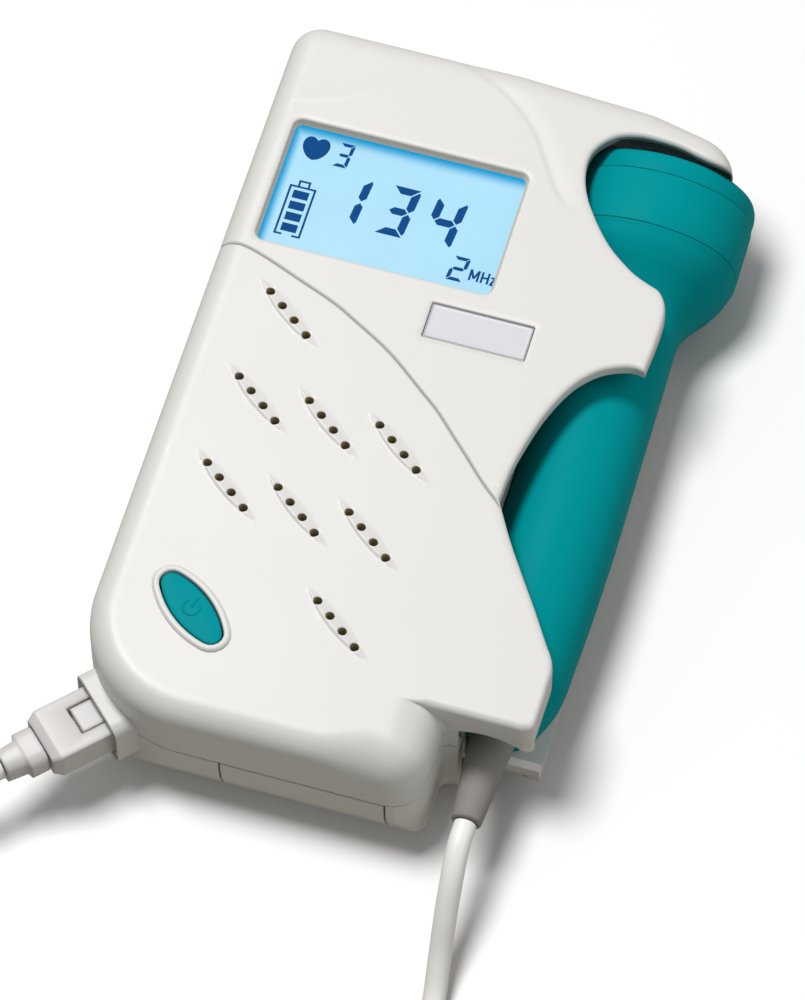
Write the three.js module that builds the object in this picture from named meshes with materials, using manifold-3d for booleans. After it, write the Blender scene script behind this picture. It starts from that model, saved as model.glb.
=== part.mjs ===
// Hand-held fetal heart monitor with a docked ultrasound probe, in millimetres.
// The unit lies on its back: +X to its right, +Y to its top end, +Z out of its front face.
// While it is built, the zero of X and Y is near the middle of the display window, and the zero of Z is
// the back.
import * as THREE from "three";
import { mergeVertices } from "three/addons/utils/BufferGeometryUtils.js";
import Module from "manifold-3d";

const wasm = await Module();
wasm.setup();

const mm = 1;

// Clearances and shared values
const seatGap = 0.3 * mm;
const overrun = 2 * mm;
const screwSides = 12;

// Housing
const wall = 2.2 * mm;
const frontZ = 35 * mm;
const seamZ = 22.2 * mm;
const leftX = -27.7 * mm;
const rightX = 52.3 * mm;
const topY = 35.1 * mm;
const bottomY = -107.4 * mm;
const lobeX = 57.3 * mm;
const lobeDrop = 12.7 * mm;
const bodyRightX = 36.2 * mm;
const notchY = -93.2 * mm;
const cornerTopR = 5.5 * mm;
const cornerLeftR = 21 * mm;
const cornerRightR = 7.5 * mm;
const cornerNotchR = 1.2 * mm;
const cornerWingR = 2.6 * mm;
const frontFilletR = 4.6 * mm;
const backFilletR = 10 * mm;
const tuckR = 20 * mm;
const wingTuckR = 14 * mm;

// Probe: its axis runs along Y, and its radii are given at places along that axis
const probeX = 43.5 * mm;
const probeZ = 18.66 * mm;
const headR = 16.6 * mm;
const handleR = 10.1 * mm;
const tailR = 6.2 * mm;
const faceY = 24.7 * mm;
const capY = 20.4 * mm;
const headBackY = 9.4 * mm;
const neckY = -4.4 * mm;
const tailY = -87.6 * mm;
const probeWall = 2 * mm;
const probeGap = 0.6 * mm;
const faceGap = 2.4 * mm;
const trayWall = 1.6 * mm;
const probeSides = 30;
const crystalThick = 1.1 * mm;
const crystalSplit = 0.6 * mm;

// Display
const windowX = -0.3 * mm;
const windowY = 0.55 * mm;
const windowWide = 42.6 * mm;
const windowHigh = 25.3 * mm;
const windowR = 1.3 * mm;
const windowDeep = 1.4 * mm;
const windowFlare = 0.4 * mm;
const lensThick = 1.2 * mm;
const lensRim = 1.6 * mm;
const glassThick = 2.8 * mm;
const glassRim = 1.6 * mm;
const holderRim = 1.6 * mm;

// Name plate
const plateWide = 18.4 * mm;
const plateHigh = 7 * mm;
const plateX = 21.4 * mm;
const plateY = -20.2 * mm;
const plateDeep = 0.9 * mm;
const plateThick = 0.5 * mm;

// Power button
const buttonX = -10.5 * mm;
const buttonY = -86.4 * mm;
const buttonLong = 16.3 * mm;
const buttonWide = 7.8 * mm;
const buttonTurnDeg = -41.5;
const buttonTipR = 1.3 * mm;
const buttonGap = 0.35 * mm;
const buttonRise = 0.5 * mm;
const buttonTravel = 0.8 * mm;
const buttonFlange = 1 * mm;
const rimWide = 1.3 * mm;
const rimRise = 0.6 * mm;

// Speaker grille: four holes on each leaf, and eight leaves on a slanting lattice
const grilleX = -15.9 * mm;
const grilleY = -40.6 * mm;
const grilleColumnX = 13.1 * mm;
const grilleColumnY = -1.3 * mm;
const grilleRowX = -0.2 * mm;
const grilleRowY = -18.05 * mm;
const holePitchX = 2.84 * mm;
const holePitchY = -2.28 * mm;
const holesPerLeaf = 4;
const holeR = 0.78 * mm;
const holeSides = 10;
const leafLong = 15.6 * mm;
const leafWide = 3.6 * mm;
const leafRise = 0.42 * mm;
const leafCells = [[0, -1], [0, 0], [1, 0], [2, 0], [0, 1], [1, 1], [2, 1], [2, 2]];

// Front groove that runs from the left wall to the probe bay
const grooveWide = 0.5 * mm;
const grooveDeep = 0.45 * mm;

// Speaker
const speakerX = -2 * mm;
const speakerY = -47 * mm;
const speakerR = 17.5 * mm;
const speakerDeep = 3.4 * mm;
const speakerRim = 2.3 * mm;
const coneR = speakerR - speakerRim;
const coneDeep = 3 * mm;
const coneThick = 0.8 * mm;
const magnetR = 8.5 * mm;
const magnetDeep = 4 * mm;

// Main board
const boardZ = 19.4 * mm;
const boardThick = 1.6 * mm;
const boardEdge = 4.2 * mm;

// Battery bay and door
const cellR = 7.2 * mm;
const cellLong = 49.2 * mm;
const nubR = 2.7 * mm;
const nubLong = 1.3 * mm;
const bayLeftX = 0.4 * mm;
const bayRoomWide = 29.6 * mm;
const bayWall = 1.4 * mm;
const contactThick = 0.5 * mm;
const contactHigh = 9 * mm;
const contactWide = 9 * mm;
const doorThick = 1.8 * mm;
const doorTravel = 30 * mm;
const doorGap = 0.35 * mm;
const doorTongue = 3.5 * mm;

// Volume wheel
const wheelR = 7 * mm;
const wheelThick = 3 * mm;
const wheelOut = 1.1 * mm;
const wheelY = -2 * mm;
const wheelZ = 15 * mm;
const wheelTeeth = 20;
const wheelToothDeep = 0.45 * mm;
const wheelBoreR = 1.6 * mm;
const potSide = 6.6 * mm;

// Earphone jack
const jackX = -10 * mm;
const jackZ = 14.5 * mm;
const jackSide = 7.6 * mm;
const jackLong = 11.5 * mm;
const jackCollarR = 3.2 * mm;
const jackBoreR = 1.8 * mm;

// Probe socket boss on the lower left corner; its axis leaves the corner at this angle
const bossTurnDeg = 226;
const bossX = -22.2 * mm;
const bossY = -104 * mm;
const bossWide = 14.2 * mm;
const bossHigh = 11.4 * mm;
const bossTopZ = 25.6 * mm;
const bossLong = 11 * mm;
const bossR = 2.4 * mm;
const plugWide = 11 * mm;
const plugHigh = 6.6 * mm;
const plugIn = 7 * mm;
const plugOut = 11 * mm;
const plugSocketGap = 0.35 * mm;
const socketWall = 0.9 * mm;
const plugR = 0.8 * mm;
const bootWide = 8 * mm;
const bootLong = 7.2 * mm;
const latchWide = 5 * mm;
const latchThick = 0.9 * mm;
const latchOut = 3.9 * mm;
const latchRoom = 1.2 * mm;

// Case screws
const screwR = 1.25 * mm;
const screwHeadR = 2.5 * mm;
const screwHeadHigh = 1.6 * mm;
const screwLong = 13 * mm;
const screwPostR = 3.6 * mm;
const screwSink = 6 * mm;
const boardScrewR = 0.9 * mm;
const boardScrewHeadR = 1.8 * mm;
const boardScrewLong = 5 * mm;

// Probe cord
const cordR = 2 * mm;
const cordSides = 8;
const reliefLong = 17 * mm;
const reliefStartR = 4.1 * mm;
const reliefEndR = 2.75 * mm;
const coilTurnsEach = 4;
const coilPitch = 4.5 * mm;
const coilLayer = 4.5 * mm;
const coilOuterR = 31 * mm;
const coilX = -18 * mm;
const coilY = -193 * mm;
const coilStartDeg = 180;
const coilEndDeg = 300;
const coilSteps = 24;
const coilSides = 6;
const tieThick = 0.8 * mm;
const tieWide = 6 * mm;
const tieGap = 0.3 * mm;
const fromProbeVia = [
  [43.8, -114, 16.6], [44.2, -119.5, 12.2], [44.8, -125.2, 6.8], [45.6, -131.5, 2.9], [46.3, -139, 2],
  [46, -150, 2],
  [43.6, -163, 2], [38.4, -177, 2], [30.2, -190.5, 2], [19.5, -202.4, 2], [8.4, -210.8, 2.4],
];
const toPlugVia = [
  [-42.6, -125.2, 17.9], [-46, -129.3, 13.6], [-49.6, -134.4, 8.2], [-52.8, -140.8, 3.6], [-54.8, -149,
  2], [-54.4, -160, 2],
  [-52.2, -172, 3.4], [-50, -181.5, 6.4],
];

// Materials
const finish = (color, roughness, metalness = 0) =>
  new THREE.MeshStandardMaterial({ color, roughness, metalness });
const shellWhite = finish(0xe9e8e3, 0.42);
const doorWhite = finish(0xe5e4df, 0.45);
const teal = finish(0x008a8c, 0.32);
const buttonTeal = finish(0x0a8f84, 0.4);
const lensClear = finish(0xbfe2f2, 0.08);
const displayBlue = finish(0x9fdcf5, 0.3);
const plateSilver = finish(0xdfe1e2, 0.35, 0.2);
const boardGreen = finish(0x1f6b3a, 0.55);
const darkPlastic = finish(0x2b2c2e, 0.5);
const paper = finish(0x35322e, 0.8);
const steel = finish(0xb9bcc0, 0.3, 0.9);
const cellSleeve = finish(0x2f4a63, 0.4);
const ceramic = finish(0xd8cfa9, 0.5);
const resin = finish(0x3a3a3f, 0.7);
const sealRubber = finish(0x202224, 0.8);
const reliefGrey = finish(0x8f8b8a, 0.55);
const cordWhite = finish(0xd9d7d4, 0.5);
const plugWhite = finish(0xeeedeb, 0.35);

// Solids: a closed geometry becomes a solid, and a solid becomes a geometry
function solid(geometry) {
  const bare = geometry.clone();
  bare.deleteAttribute("normal");
  bare.deleteAttribute("uv");
  const merged = mergeVertices(bare, 1e-4);
  return new wasm.Manifold(new wasm.Mesh({
    numProp: 3,
    vertProperties: merged.attributes.position.array,
    triVerts: new Uint32Array(merged.index.array),
  }));
}

function geometryOf(body) {
  const made = body.getMesh();
  const geometry = new THREE.BufferGeometry();
  geometry.setAttribute("position", new THREE.BufferAttribute(new Float32Array(made.vertProperties), 3));
  geometry.setIndex(new THREE.BufferAttribute(new Uint32Array(made.triVerts), 1));
  geometry.computeVertexNormals();
  return geometry;
}

// Turns a flat outline so that its first axis becomes Y, its second becomes Z, and its depth becomes X
const sideTurn = new THREE.Matrix4().makeBasis(
  new THREE.Vector3(0, 1, 0), new THREE.Vector3(0, 0, 1), new THREE.Vector3(1, 0, 0));

const union = (...bodies) => bodies.reduce((a, b) => a.add(b));
const place = (geometry, x, y, z) => geometry.clone().translate(x, y, z);

function prism(points, z0, z1) {
  const shape = new THREE.Shape(points);
  const flat = new THREE.ExtrudeGeometry(shape, { depth: z1 - z0, bevelEnabled: false, steps: 1 });
  return solid(flat.translate(0, 0, z0));
}

function block(x0, x1, y0, y1, z0, z1) {
  const box = new THREE.BoxGeometry(x1 - x0, y1 - y0, z1 - z0);
  return solid(box.translate((x0 + x1) / 2, (y0 + y1) / 2, (z0 + z1) / 2));
}

function rod(x, y, z0, z1, r, sides) {
  const round = new THREE.CylinderGeometry(r, r, z1 - z0, sides).rotateX(Math.PI / 2);
  return solid(round.translate(x, y, (z0 + z1) / 2));
}

// A profile of radii and heights turned round the Z axis
function turned(profile, sides) {
  const points = profile.map(([r, h]) => new THREE.Vector2(r, h));
  return new THREE.LatheGeometry(points, sides).rotateX(Math.PI / 2);
}

// A turned profile whose heights run along the probe's axis towards its face
function onProbe(profile, sides = probeSides) {
  const points = profile.map(([r, y]) => new THREE.Vector2(r, y));
  return new THREE.LatheGeometry(points, sides).translate(probeX, 0, probeZ);
}

// A rounded rectangle's outline about a centre
function roundedRectangle(x, y, wide, high, r, steps = 4) {
  const points = [];
  const corners = [[1, 1, 0], [-1, 1, 90], [-1, -1, 180], [1, -1, 270]];
  for (const [sx, sy, start] of corners) {
    for (let i = 0; i <= steps; i++) {
      const a = THREE.MathUtils.degToRad(start + (90 * i) / steps);
      const cx = x + sx * (wide / 2 - r);
      const cy = y + sy * (high / 2 - r);
      points.push(new THREE.Vector2(cx + r * Math.cos(a), cy + r * Math.sin(a)));
    }
  }
  return points;
}

// A leaf: two equal arcs that meet at its ends, in a point or in a round tip
function leafOutline(x, y, long, wide, turnDeg, steps = 10, tip = 0) {
  const flatLong = long - 2 * tip;
  const flatWide = wide - 2 * tip;
  const r = (flatLong * flatLong) / (4 * flatWide) + flatWide / 4;
  const half = Math.asin(flatLong / 2 / r);
  const tipSteps = tip ? 4 : 1;
  const points = [];
  for (const side of [1, -1]) {
    for (let i = 0; i < steps; i++) {
      const a = half - (2 * half * i) / steps;
      points.push(new THREE.Vector2(side * (r + tip) * Math.sin(a),
        side * ((r + tip) * Math.cos(a) - r + flatWide / 2)));
    }
    for (let i = 0; i < tipSteps && tip; i++) {
      const a = Math.PI / 2 + half + ((Math.PI - 2 * half) * i) / tipSteps;
      points.push(new THREE.Vector2(side * (tip * Math.cos(a) - flatLong / 2), side * tip * Math.sin(a)));
    }
  }
  const turn = THREE.MathUtils.degToRad(turnDeg);
  const middle = new THREE.Vector2();
  return points.map((p) => p.rotateAround(middle, turn).add(new THREE.Vector2(x, y)));
}

// A solid between closed rings of equally many points, capped flat at both ends
function loft(rings) {
  const count = rings[0].length;
  const positions = [];
  for (const ring of rings) {
    for (const p of ring) positions.push(p.x, p.y, p.z);
  }
  const index = [];
  for (let k = 0; k + 1 < rings.length; k++) {
    for (let i = 0; i < count; i++) {
      const j = (i + 1) % count;
      const low = k * count;
      const high = low + count;
      index.push(low + i, low + j, high + j, low + i, high + j, high + i);
    }
  }
  const capOf = (ring) => THREE.ShapeUtils.triangulateShape(ring.map((p) => new THREE.Vector2(p.x,
    p.y)), []);
  const last = (rings.length - 1) * count;
  for (const [a, b, c] of capOf(rings[0])) index.push(a, c, b);
  for (const [a, b, c] of capOf(rings[rings.length - 1])) index.push(last + a, last + b, last + c);
  const geometry = new THREE.BufferGeometry();
  geometry.setAttribute("position", new THREE.Float32BufferAttribute(positions, 3));
  geometry.setIndex(index);
  return solid(geometry);
}

// Outline of the housing, anticlockwise, with a round corner where a radius is given
function filleted(corners) {
  const points = [];
  corners.forEach(([x, y, wanted, steps], i) => {
    const here = new THREE.Vector2(x, y);
    const [bx, by] = corners[(i + corners.length - 1) % corners.length];
    const [ax, ay] = corners[(i + 1) % corners.length];
    const back = new THREE.Vector2(bx, by).sub(here).normalize();
    const on = new THREE.Vector2(ax, ay).sub(here).normalize();
    const half = Math.acos(THREE.MathUtils.clamp(back.dot(on), -1, 1)) / 2;
    const room = 0.48 * Math.min(Math.hypot(bx - x, by - y), Math.hypot(ax - x, ay - y));
    const reach = Math.min(wanted / Math.tan(half), room);
    const r = reach * Math.tan(half);
    const start = here.clone().addScaledVector(back, reach);
    const end = here.clone().addScaledVector(on, reach);
    const middle = here.clone().add(back.clone().add(on).normalize().multiplyScalar(r / Math.sin(half)));
    const a0 = Math.atan2(start.y - middle.y, start.x - middle.x);
    let sweep = Math.atan2(end.y - middle.y, end.x - middle.x) - a0;
    if (sweep > Math.PI) sweep -= 2 * Math.PI;
    if (sweep < -Math.PI) sweep += 2 * Math.PI;
    for (let k = 0; k <= steps; k++) {
      const a = a0 + (sweep * k) / steps;
      points.push(new THREE.Vector2(middle.x + r * Math.cos(a), middle.y + r * Math.sin(a)));
    }
  });
  return points;
}

const lobeY = topY - lobeDrop;
const housingCorners = [
  [leftX, bottomY, cornerLeftR, 9],
  [bodyRightX, bottomY, cornerRightR, 5],
  [bodyRightX, notchY, cornerNotchR, 2],
  [rightX, notchY, cornerWingR, 3],
  [rightX, lobeY - headR, headR, 3],
  [lobeX, lobeY, headR / 4, 3],
  [lobeX - headR / 4, topY - frontFilletR, headR / 2, 4],
  [lobeX - 1.1 * headR, topY - 0.3 * frontFilletR, headR, 2],
  [lobeX - 2.6 * headR, topY, headR, 3],
  [leftX, topY, cornerTopR, 4],
];

// The housing's outline moved inwards by a distance: the sides move, and the corners tighten or open
// with them
function housingAt(distance) {
  const sides = housingCorners.map(([x, y], i) => {
    const [nx, ny] = housingCorners[(i + 1) % housingCorners.length];
    const way = new THREE.Vector2(nx - x, ny - y).normalize();
    return { way, start: new THREE.Vector2(x - way.y * distance, y + way.x * distance) };
  });
  return filleted(housingCorners.map(([, , r, steps], i) => {
    const before = sides[(i + sides.length - 1) % sides.length];
    const after = sides[i];
    const turn = before.way.cross(after.way);
    const along = after.start.clone().sub(before.start).cross(after.way) / turn;
    const corner = before.start.clone().addScaledVector(before.way, along);
    const tight = Math.max(r - Math.sign(turn) * distance, cornerNotchR / 3);
    return [corner.x, corner.y, tight, steps];
  }));
}

const ringAt = (distance, z) => housingAt(distance).map((p) => new THREE.Vector3(p.x, p.y, z));

// Rings of an edge that is rounded from a level to the top or bottom face
function roundedRings(wallInset, r, fromZ, toZ, steps) {
  const rings = [];
  const way = Math.sign(toZ - fromZ);
  for (let k = 0; k <= steps; k++) {
    const a = (Math.PI / 2) * (k / steps);
    rings.push(ringAt(wallInset + r * (1 - Math.cos(a)), toZ - way * r * (1 - Math.sin(a))));
  }
  return rings;
}

// Probe envelope: the room that the probe takes while it is docked and while it is drawn out sideways
const bellShares = [[0, 0], [0.16, 0.04], [0.32, 0.17], [0.5, 0.41], [0.66, 0.66], [0.82, 0.86], [1, 1]];
const taperShares = [[0, 1], [0.28, 0.99], [0.56, 1.02], [0.78, 0.93], [0.9, 0.78], [1, 0]];

const handleProfile = [
  ...taperShares.map(([s, t]) => [tailR + (handleR - tailR) * t, neckY + (tailY - neckY) * s]).reverse(),
  ...bellShares.slice(1).map(([s, t]) => [handleR + (headR - handleR) * t, neckY + (headBackY - neckY) * s]),
];

const envelopeProfile = (grow, endGrow) => [
  [tailR + grow, tailY - endGrow],
  ...handleProfile.map(([r, y]) => [r + grow, y]),
  [headR + grow, faceY + faceGap + endGrow],
];

function probeEnvelope(grow, endGrow) {
  const profile = envelopeProfile(grow, endGrow);
  const round = onProbe([[0, profile[0][1]], ...profile, [0, profile[profile.length - 1][1]]]);
  const side = [
    ...profile.map(([r, y]) => new THREE.Vector2(y, probeZ + r)),
    ...profile.map(([r, y]) => new THREE.Vector2(y, probeZ - r)).reverse(),
  ];
  const reach = lobeX - probeX + headR;
  const swept = new THREE.ExtrudeGeometry(new THREE.Shape(side), { depth: reach, bevelEnabled: false });
  return solid(round).add(solid(swept.applyMatrix4(sideTurn).translate(probeX, 0, 0)));
}

const probeRoom = probeEnvelope(probeGap, probeGap);
const probeTray = probeEnvelope(probeGap + trayWall, probeGap + trayWall);

// Upright wall round the probe in the front shell: the probe's side view seen from above, made wider
function bayPlan(grow, endGrow) {
  const profile = envelopeProfile(grow, endGrow);
  const farX = lobeX + headR;
  return [
    new THREE.Vector2(farX, profile[0][1]),
    new THREE.Vector2(farX, profile[profile.length - 1][1]),
    ...profile.map(([r, y]) => new THREE.Vector2(probeX - r, y)).reverse(),
  ];
}

// Cut edge of the front face round the probe, in shares of the head's radius from the probe's axis
const bayEdgeShares = [
  [0.86, 0.2], [0.74, 0.1], [0.62, 0.05], [0.48, 0.04], [0.32, 0.07], [0.13, 0.12], [-0.11, 0.145],
  [-0.34, 0.14], [-0.55, 0.075], [-0.69, -0.05],
  [-0.77, -0.2], [-0.785, -0.38], [-0.745, -0.58], [-0.665, -0.77], [-0.57, -0.925], [-0.43, -1.12],
  [-0.28, -1.29], [-0.1, -1.44], [0.07, -1.555], [0.24, -1.63], [0.36, -1.68], [0.44, -1.78],
  [0.49, -1.91], [0.51, -2.07], [0.5, -2.4], [0.485, -2.79], [0.35, -2.785], [0.18, -2.81],
  [0.01, -2.9], [-0.16, -3.06], [-0.27, -3.23], [-0.37, -3.49], [-0.455, -3.84], [-0.525, -4.24],
  [-0.56, -4.61], [-0.33, -5.01], [-0.1, -5.37], [0.13, -5.72], [0.355, -6.08], [0.44, -6.21],
  [0.495, -6.35], [0.505, -6.52], [0.5, -7.1],
];
const bayEdge = bayEdgeShares.map(([sx, sy]) => new THREE.Vector2(probeX + sx * headR, faceY + sy * headR));
const bayOpening = [
  ...bayEdge,
  new THREE.Vector2(lobeX + headR, bayEdge[bayEdge.length - 1].y),
  new THREE.Vector2(lobeX + headR, bayEdge[0].y),
];

// Shared places that the pieces of the housing line up on
const innerFrontZ = frontZ - wall;
const bayRightX = bayLeftX + bayRoomWide;
const cellXs = [bayLeftX + seatGap + cellR, bayRightX - seatGap - cellR];
const cellZ = doorThick + doorGap + seatGap + cellR;
const bayRoofZ = cellZ + cellR + seatGap;
const bayEndY = bottomY + tuckR - contactThick - 2 * seatGap;
const bayTopY = bayEndY + cellLong + nubLong + 2 * (contactThick + 2 * seatGap);
const wheelX = leftX - wheelOut + wheelR;
const screwPlaces = [
  [leftX + 2.1 * screwPostR, topY - 2.1 * screwPostR],
  [probeX - headR - 2 * screwPostR, topY - 2.4 * screwPostR],
  [leftX + 1.9 * screwPostR, bottomY + 8.2 * screwPostR],
  [probeX - handleR - probeGap - trayWall / 2 - screwPostR, bayTopY + 2 * screwPostR],
];
const boardTopY = screwPlaces[0][1] - screwPostR - 2 * seatGap;
const boardScrewY = windowY - windowHigh / 2 - lensRim - trayWall - 1.8 * boardScrewHeadR;
const boardScrewPlaces = [
  [leftX + boardEdge + 5 * boardScrewHeadR, boardScrewY],
  [probeX - headR - 4 * boardScrewHeadR, boardScrewY],
];
const reliefX = probeX - reliefStartR - probeGap;
const tailWallZ = probeZ - reliefStartR - probeGap;
const tailEndY = tailY - probeGap - trayWall;
const bossTurn = THREE.MathUtils.degToRad(bossTurnDeg);
const plugZ = bossTopZ - bossHigh / 2;

// Places a geometry whose +X points out of the socket, +Y across it and +Z up, with its zero on the
// boss face
const socketFrame = new THREE.Matrix4().makeRotationZ(bossTurn).setPosition(bossX, bossY, plugZ);
const atSocket = (geometry) => solid(geometry.applyMatrix4(socketFrame));

// A rounded bar along the socket's axis
function socketBar(from, to, wide, high, r, z = 0, steps = 3) {
  const shape = new THREE.Shape(roundedRectangle(0, z, wide, high, r, steps));
  const bar = new THREE.ExtrudeGeometry(shape, { depth: to - from, bevelEnabled: false });
  return atSocket(bar.applyMatrix4(sideTurn).translate(from, 0, 0));
}

// The button's outline, grown by a distance
const buttonLeaf = (grow) => leafOutline(
  buttonX, buttonY, buttonLong + 2 * grow, buttonWide + 2 * grow, buttonTurnDeg, 10, buttonTipR + grow);

// Front shell
function grilleHoles() {
  const holes = [];
  for (const [i, j] of leafCells) {
    for (let n = 0; n < holesPerLeaf; n++) {
      const x = grilleX + i * grilleColumnX + j * grilleRowX + n * holePitchX;
      const y = grilleY + i * grilleColumnY + j * grilleRowY + n * holePitchY;
      holes.push(rod(x, y, innerFrontZ - overrun, frontZ + overrun, holeR, holeSides));
    }
  }
  return union(...holes);
}

const leafTurnDeg = THREE.MathUtils.radToDeg(Math.atan2(holePitchY, holePitchX));

function leafBumps() {
  const middle = (holesPerLeaf - 1) / 2;
  return leafCells.map(([i, j]) => {
    const x = grilleX + i * grilleColumnX + j * grilleRowX + middle * holePitchX;
    const y = grilleY + i * grilleColumnY + j * grilleRowY + middle * holePitchY;
    const flat = (long, wide, z) => leafOutline(x, y, long, wide, leafTurnDeg, 6)
      .map((p) => new THREE.Vector3(p.x, p.y, z));
    return loft([
      flat(leafLong, leafWide, frontZ - leafRise),
      flat(leafLong, leafWide, frontZ),
      flat(leafLong - 3 * leafRise, leafWide - 2 * leafRise, frontZ + 0.7 * leafRise),
      flat(leafLong - 8 * leafRise, leafWide - 4.5 * leafRise, frontZ + leafRise),
    ]);
  });
}

// The groove runs to the kink of the cut edge; its places are shares of the kink's own
const grooveShares = [
  [0, 0.278], [0.079, 0.284], [0.14, 0.305], [0.263, 0.363], [0.386, 0.423], [0.4475, 0.463], [0.57, 0.55],
  [0.693, 0.666], [0.754, 0.726], [0.816, 0.799], [0.877, 0.873], [0.939, 0.948], [1, 1.012],
];

function grooveCut() {
  const kink = bayEdge[34];
  const points = grooveShares.map(([sx, sy]) =>
    new THREE.Vector2(leftX + (kink.x - leftX) * sx, kink.y * sy));
  const line = new THREE.SplineCurve(points).getPoints(22);
  const upper = line.map((p, i) => {
    const a = line[Math.max(i - 1, 0)];
    const b = line[Math.min(i + 1, line.length - 1)];
    const way = b.clone().sub(a).normalize();
    return p.clone().add(new THREE.Vector2(-way.y, way.x).multiplyScalar(grooveWide));
  });
  return prism([...line, ...upper.reverse()], frontZ - grooveDeep, frontZ + overrun);
}

function windowOpening() {
  const at = (grow, z) => roundedRectangle(windowX, windowY, windowWide + 2 * grow, windowHigh + 2 * grow,
    windowR + grow)
    .map((p) => new THREE.Vector3(p.x, p.y, z));
  const foot = frontZ - windowDeep;
  return loft([
    at(0, innerFrontZ - windowDeep - overrun), at(0, foot),
    at(windowFlare, frontZ), at(windowFlare, frontZ + overrun),
  ]);
}

function frontShell() {
  const top = roundedRings(0, frontFilletR, seamZ, frontZ, 5);
  const outer = loft([ringAt(0, seamZ + seatGap / 2), ...top]);
  const innerTop = roundedRings(wall, frontFilletR - wall, seamZ, innerFrontZ, 2);
  const inner = loft([ringAt(wall, seamZ - overrun), ...innerTop]);
  const liner = prism(bayPlan(probeGap + trayWall, probeGap + trayWall), seamZ + seatGap / 2,
    innerFrontZ + wall / 2)
    .subtract(prism(bayPlan(probeGap, probeGap), seamZ - overrun, frontZ + overrun))
    .intersect(outer);
  const posts = screwPlaces.map(([x, y]) =>
    rod(x, y, screwSink + screwLong - 2 * screwR, innerFrontZ + wall / 2, screwPostR - trayWall / 2,
      screwSides));
  const boardPosts = boardScrewPlaces.map(([x, y]) =>
    rod(x, y, boardZ + boardThick + seatGap, innerFrontZ + wall / 2, boardScrewHeadR, screwSides));
  const windowWell = windowDeep + lensThick;
  const frame = prism(
    roundedRectangle(windowX, windowY, windowWide + 2 * (lensRim + trayWall),
      windowHigh + 2 * (lensRim + trayWall),
      windowR),
    frontZ - windowWell, innerFrontZ + wall / 2);
  const buttonRim = prism(buttonLeaf(buttonGap + rimWide), innerFrontZ + wall / 2, frontZ + rimRise);
  let shell = outer.subtract(inner).add(liner).add(frame).add(buttonRim);
  shell = union(shell, ...posts, ...boardPosts, ...leafBumps());
  const lensSeat = prism(
    roundedRectangle(windowX, windowY, windowWide + 2 * lensRim + seatGap,
      windowHigh + 2 * lensRim + seatGap, windowR),
    seamZ, frontZ - windowDeep);
  const buttonWell = prism(buttonLeaf(buttonGap), seamZ, frontZ + overrun);
  const plateWell = prism(
    roundedRectangle(plateX, plateY, plateWide + 2 * seatGap, plateHigh + 2 * seatGap, seatGap, 1),
    frontZ - plateDeep, frontZ + overrun);
  const screwHoles = screwPlaces.map(([x, y]) =>
    rod(x, y, screwSink, screwSink + screwLong + screwR, screwR + seatGap / 2, screwSides));
  const boardScrewHoles = boardScrewPlaces.map(([x, y]) =>
    rod(x, y, boardZ, boardZ + boardScrewLong + boardScrewR, boardScrewR + seatGap / 2, screwSides));
  const speakerRoom = rod(speakerX, speakerY, innerFrontZ - speakerDeep, innerFrontZ, coneR, 24);
  shell = shell
    .subtract(probeRoom)
    .subtract(prism(bayOpening, seamZ, frontZ + headR))
    .subtract(windowOpening())
    .subtract(lensSeat)
    .subtract(buttonWell)
    .subtract(plateWell)
    .subtract(speakerRoom)
    .subtract(grilleHoles())
    .subtract(grooveCut())
    .subtract(bossRoom())
    .subtract(tailArch())
    .subtract(union(...screwHoles, ...boardScrewHoles));
  return shell;
}

// Arch in the front shell's end over the probe's tail and its strain relief
function tailArch() {
  const r = handleR + probeGap;
  const round = new THREE.CylinderGeometry(r, r, tailY - notchY + 2 * overrun, probeSides)
    .translate(probeX, (tailY + notchY) / 2, probeZ);
  const swept = block(probeX, rightX + headR, notchY - overrun, tailY + overrun, probeZ, probeZ + r);
  return solid(round).add(swept).intersect(block(reliefX, rightX + headR, notchY - headR, tailY + headR,
    0, frontZ));
}

// The boss's own outline, grown by a clearance, is cut out of the front shell
const bossBar = (grow) => socketBar(-bossLong, 0 + grow, bossWide + 2 * grow, bossHigh + 2 * grow, bossR);
const bossRoom = () => bossBar(seatGap);

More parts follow.
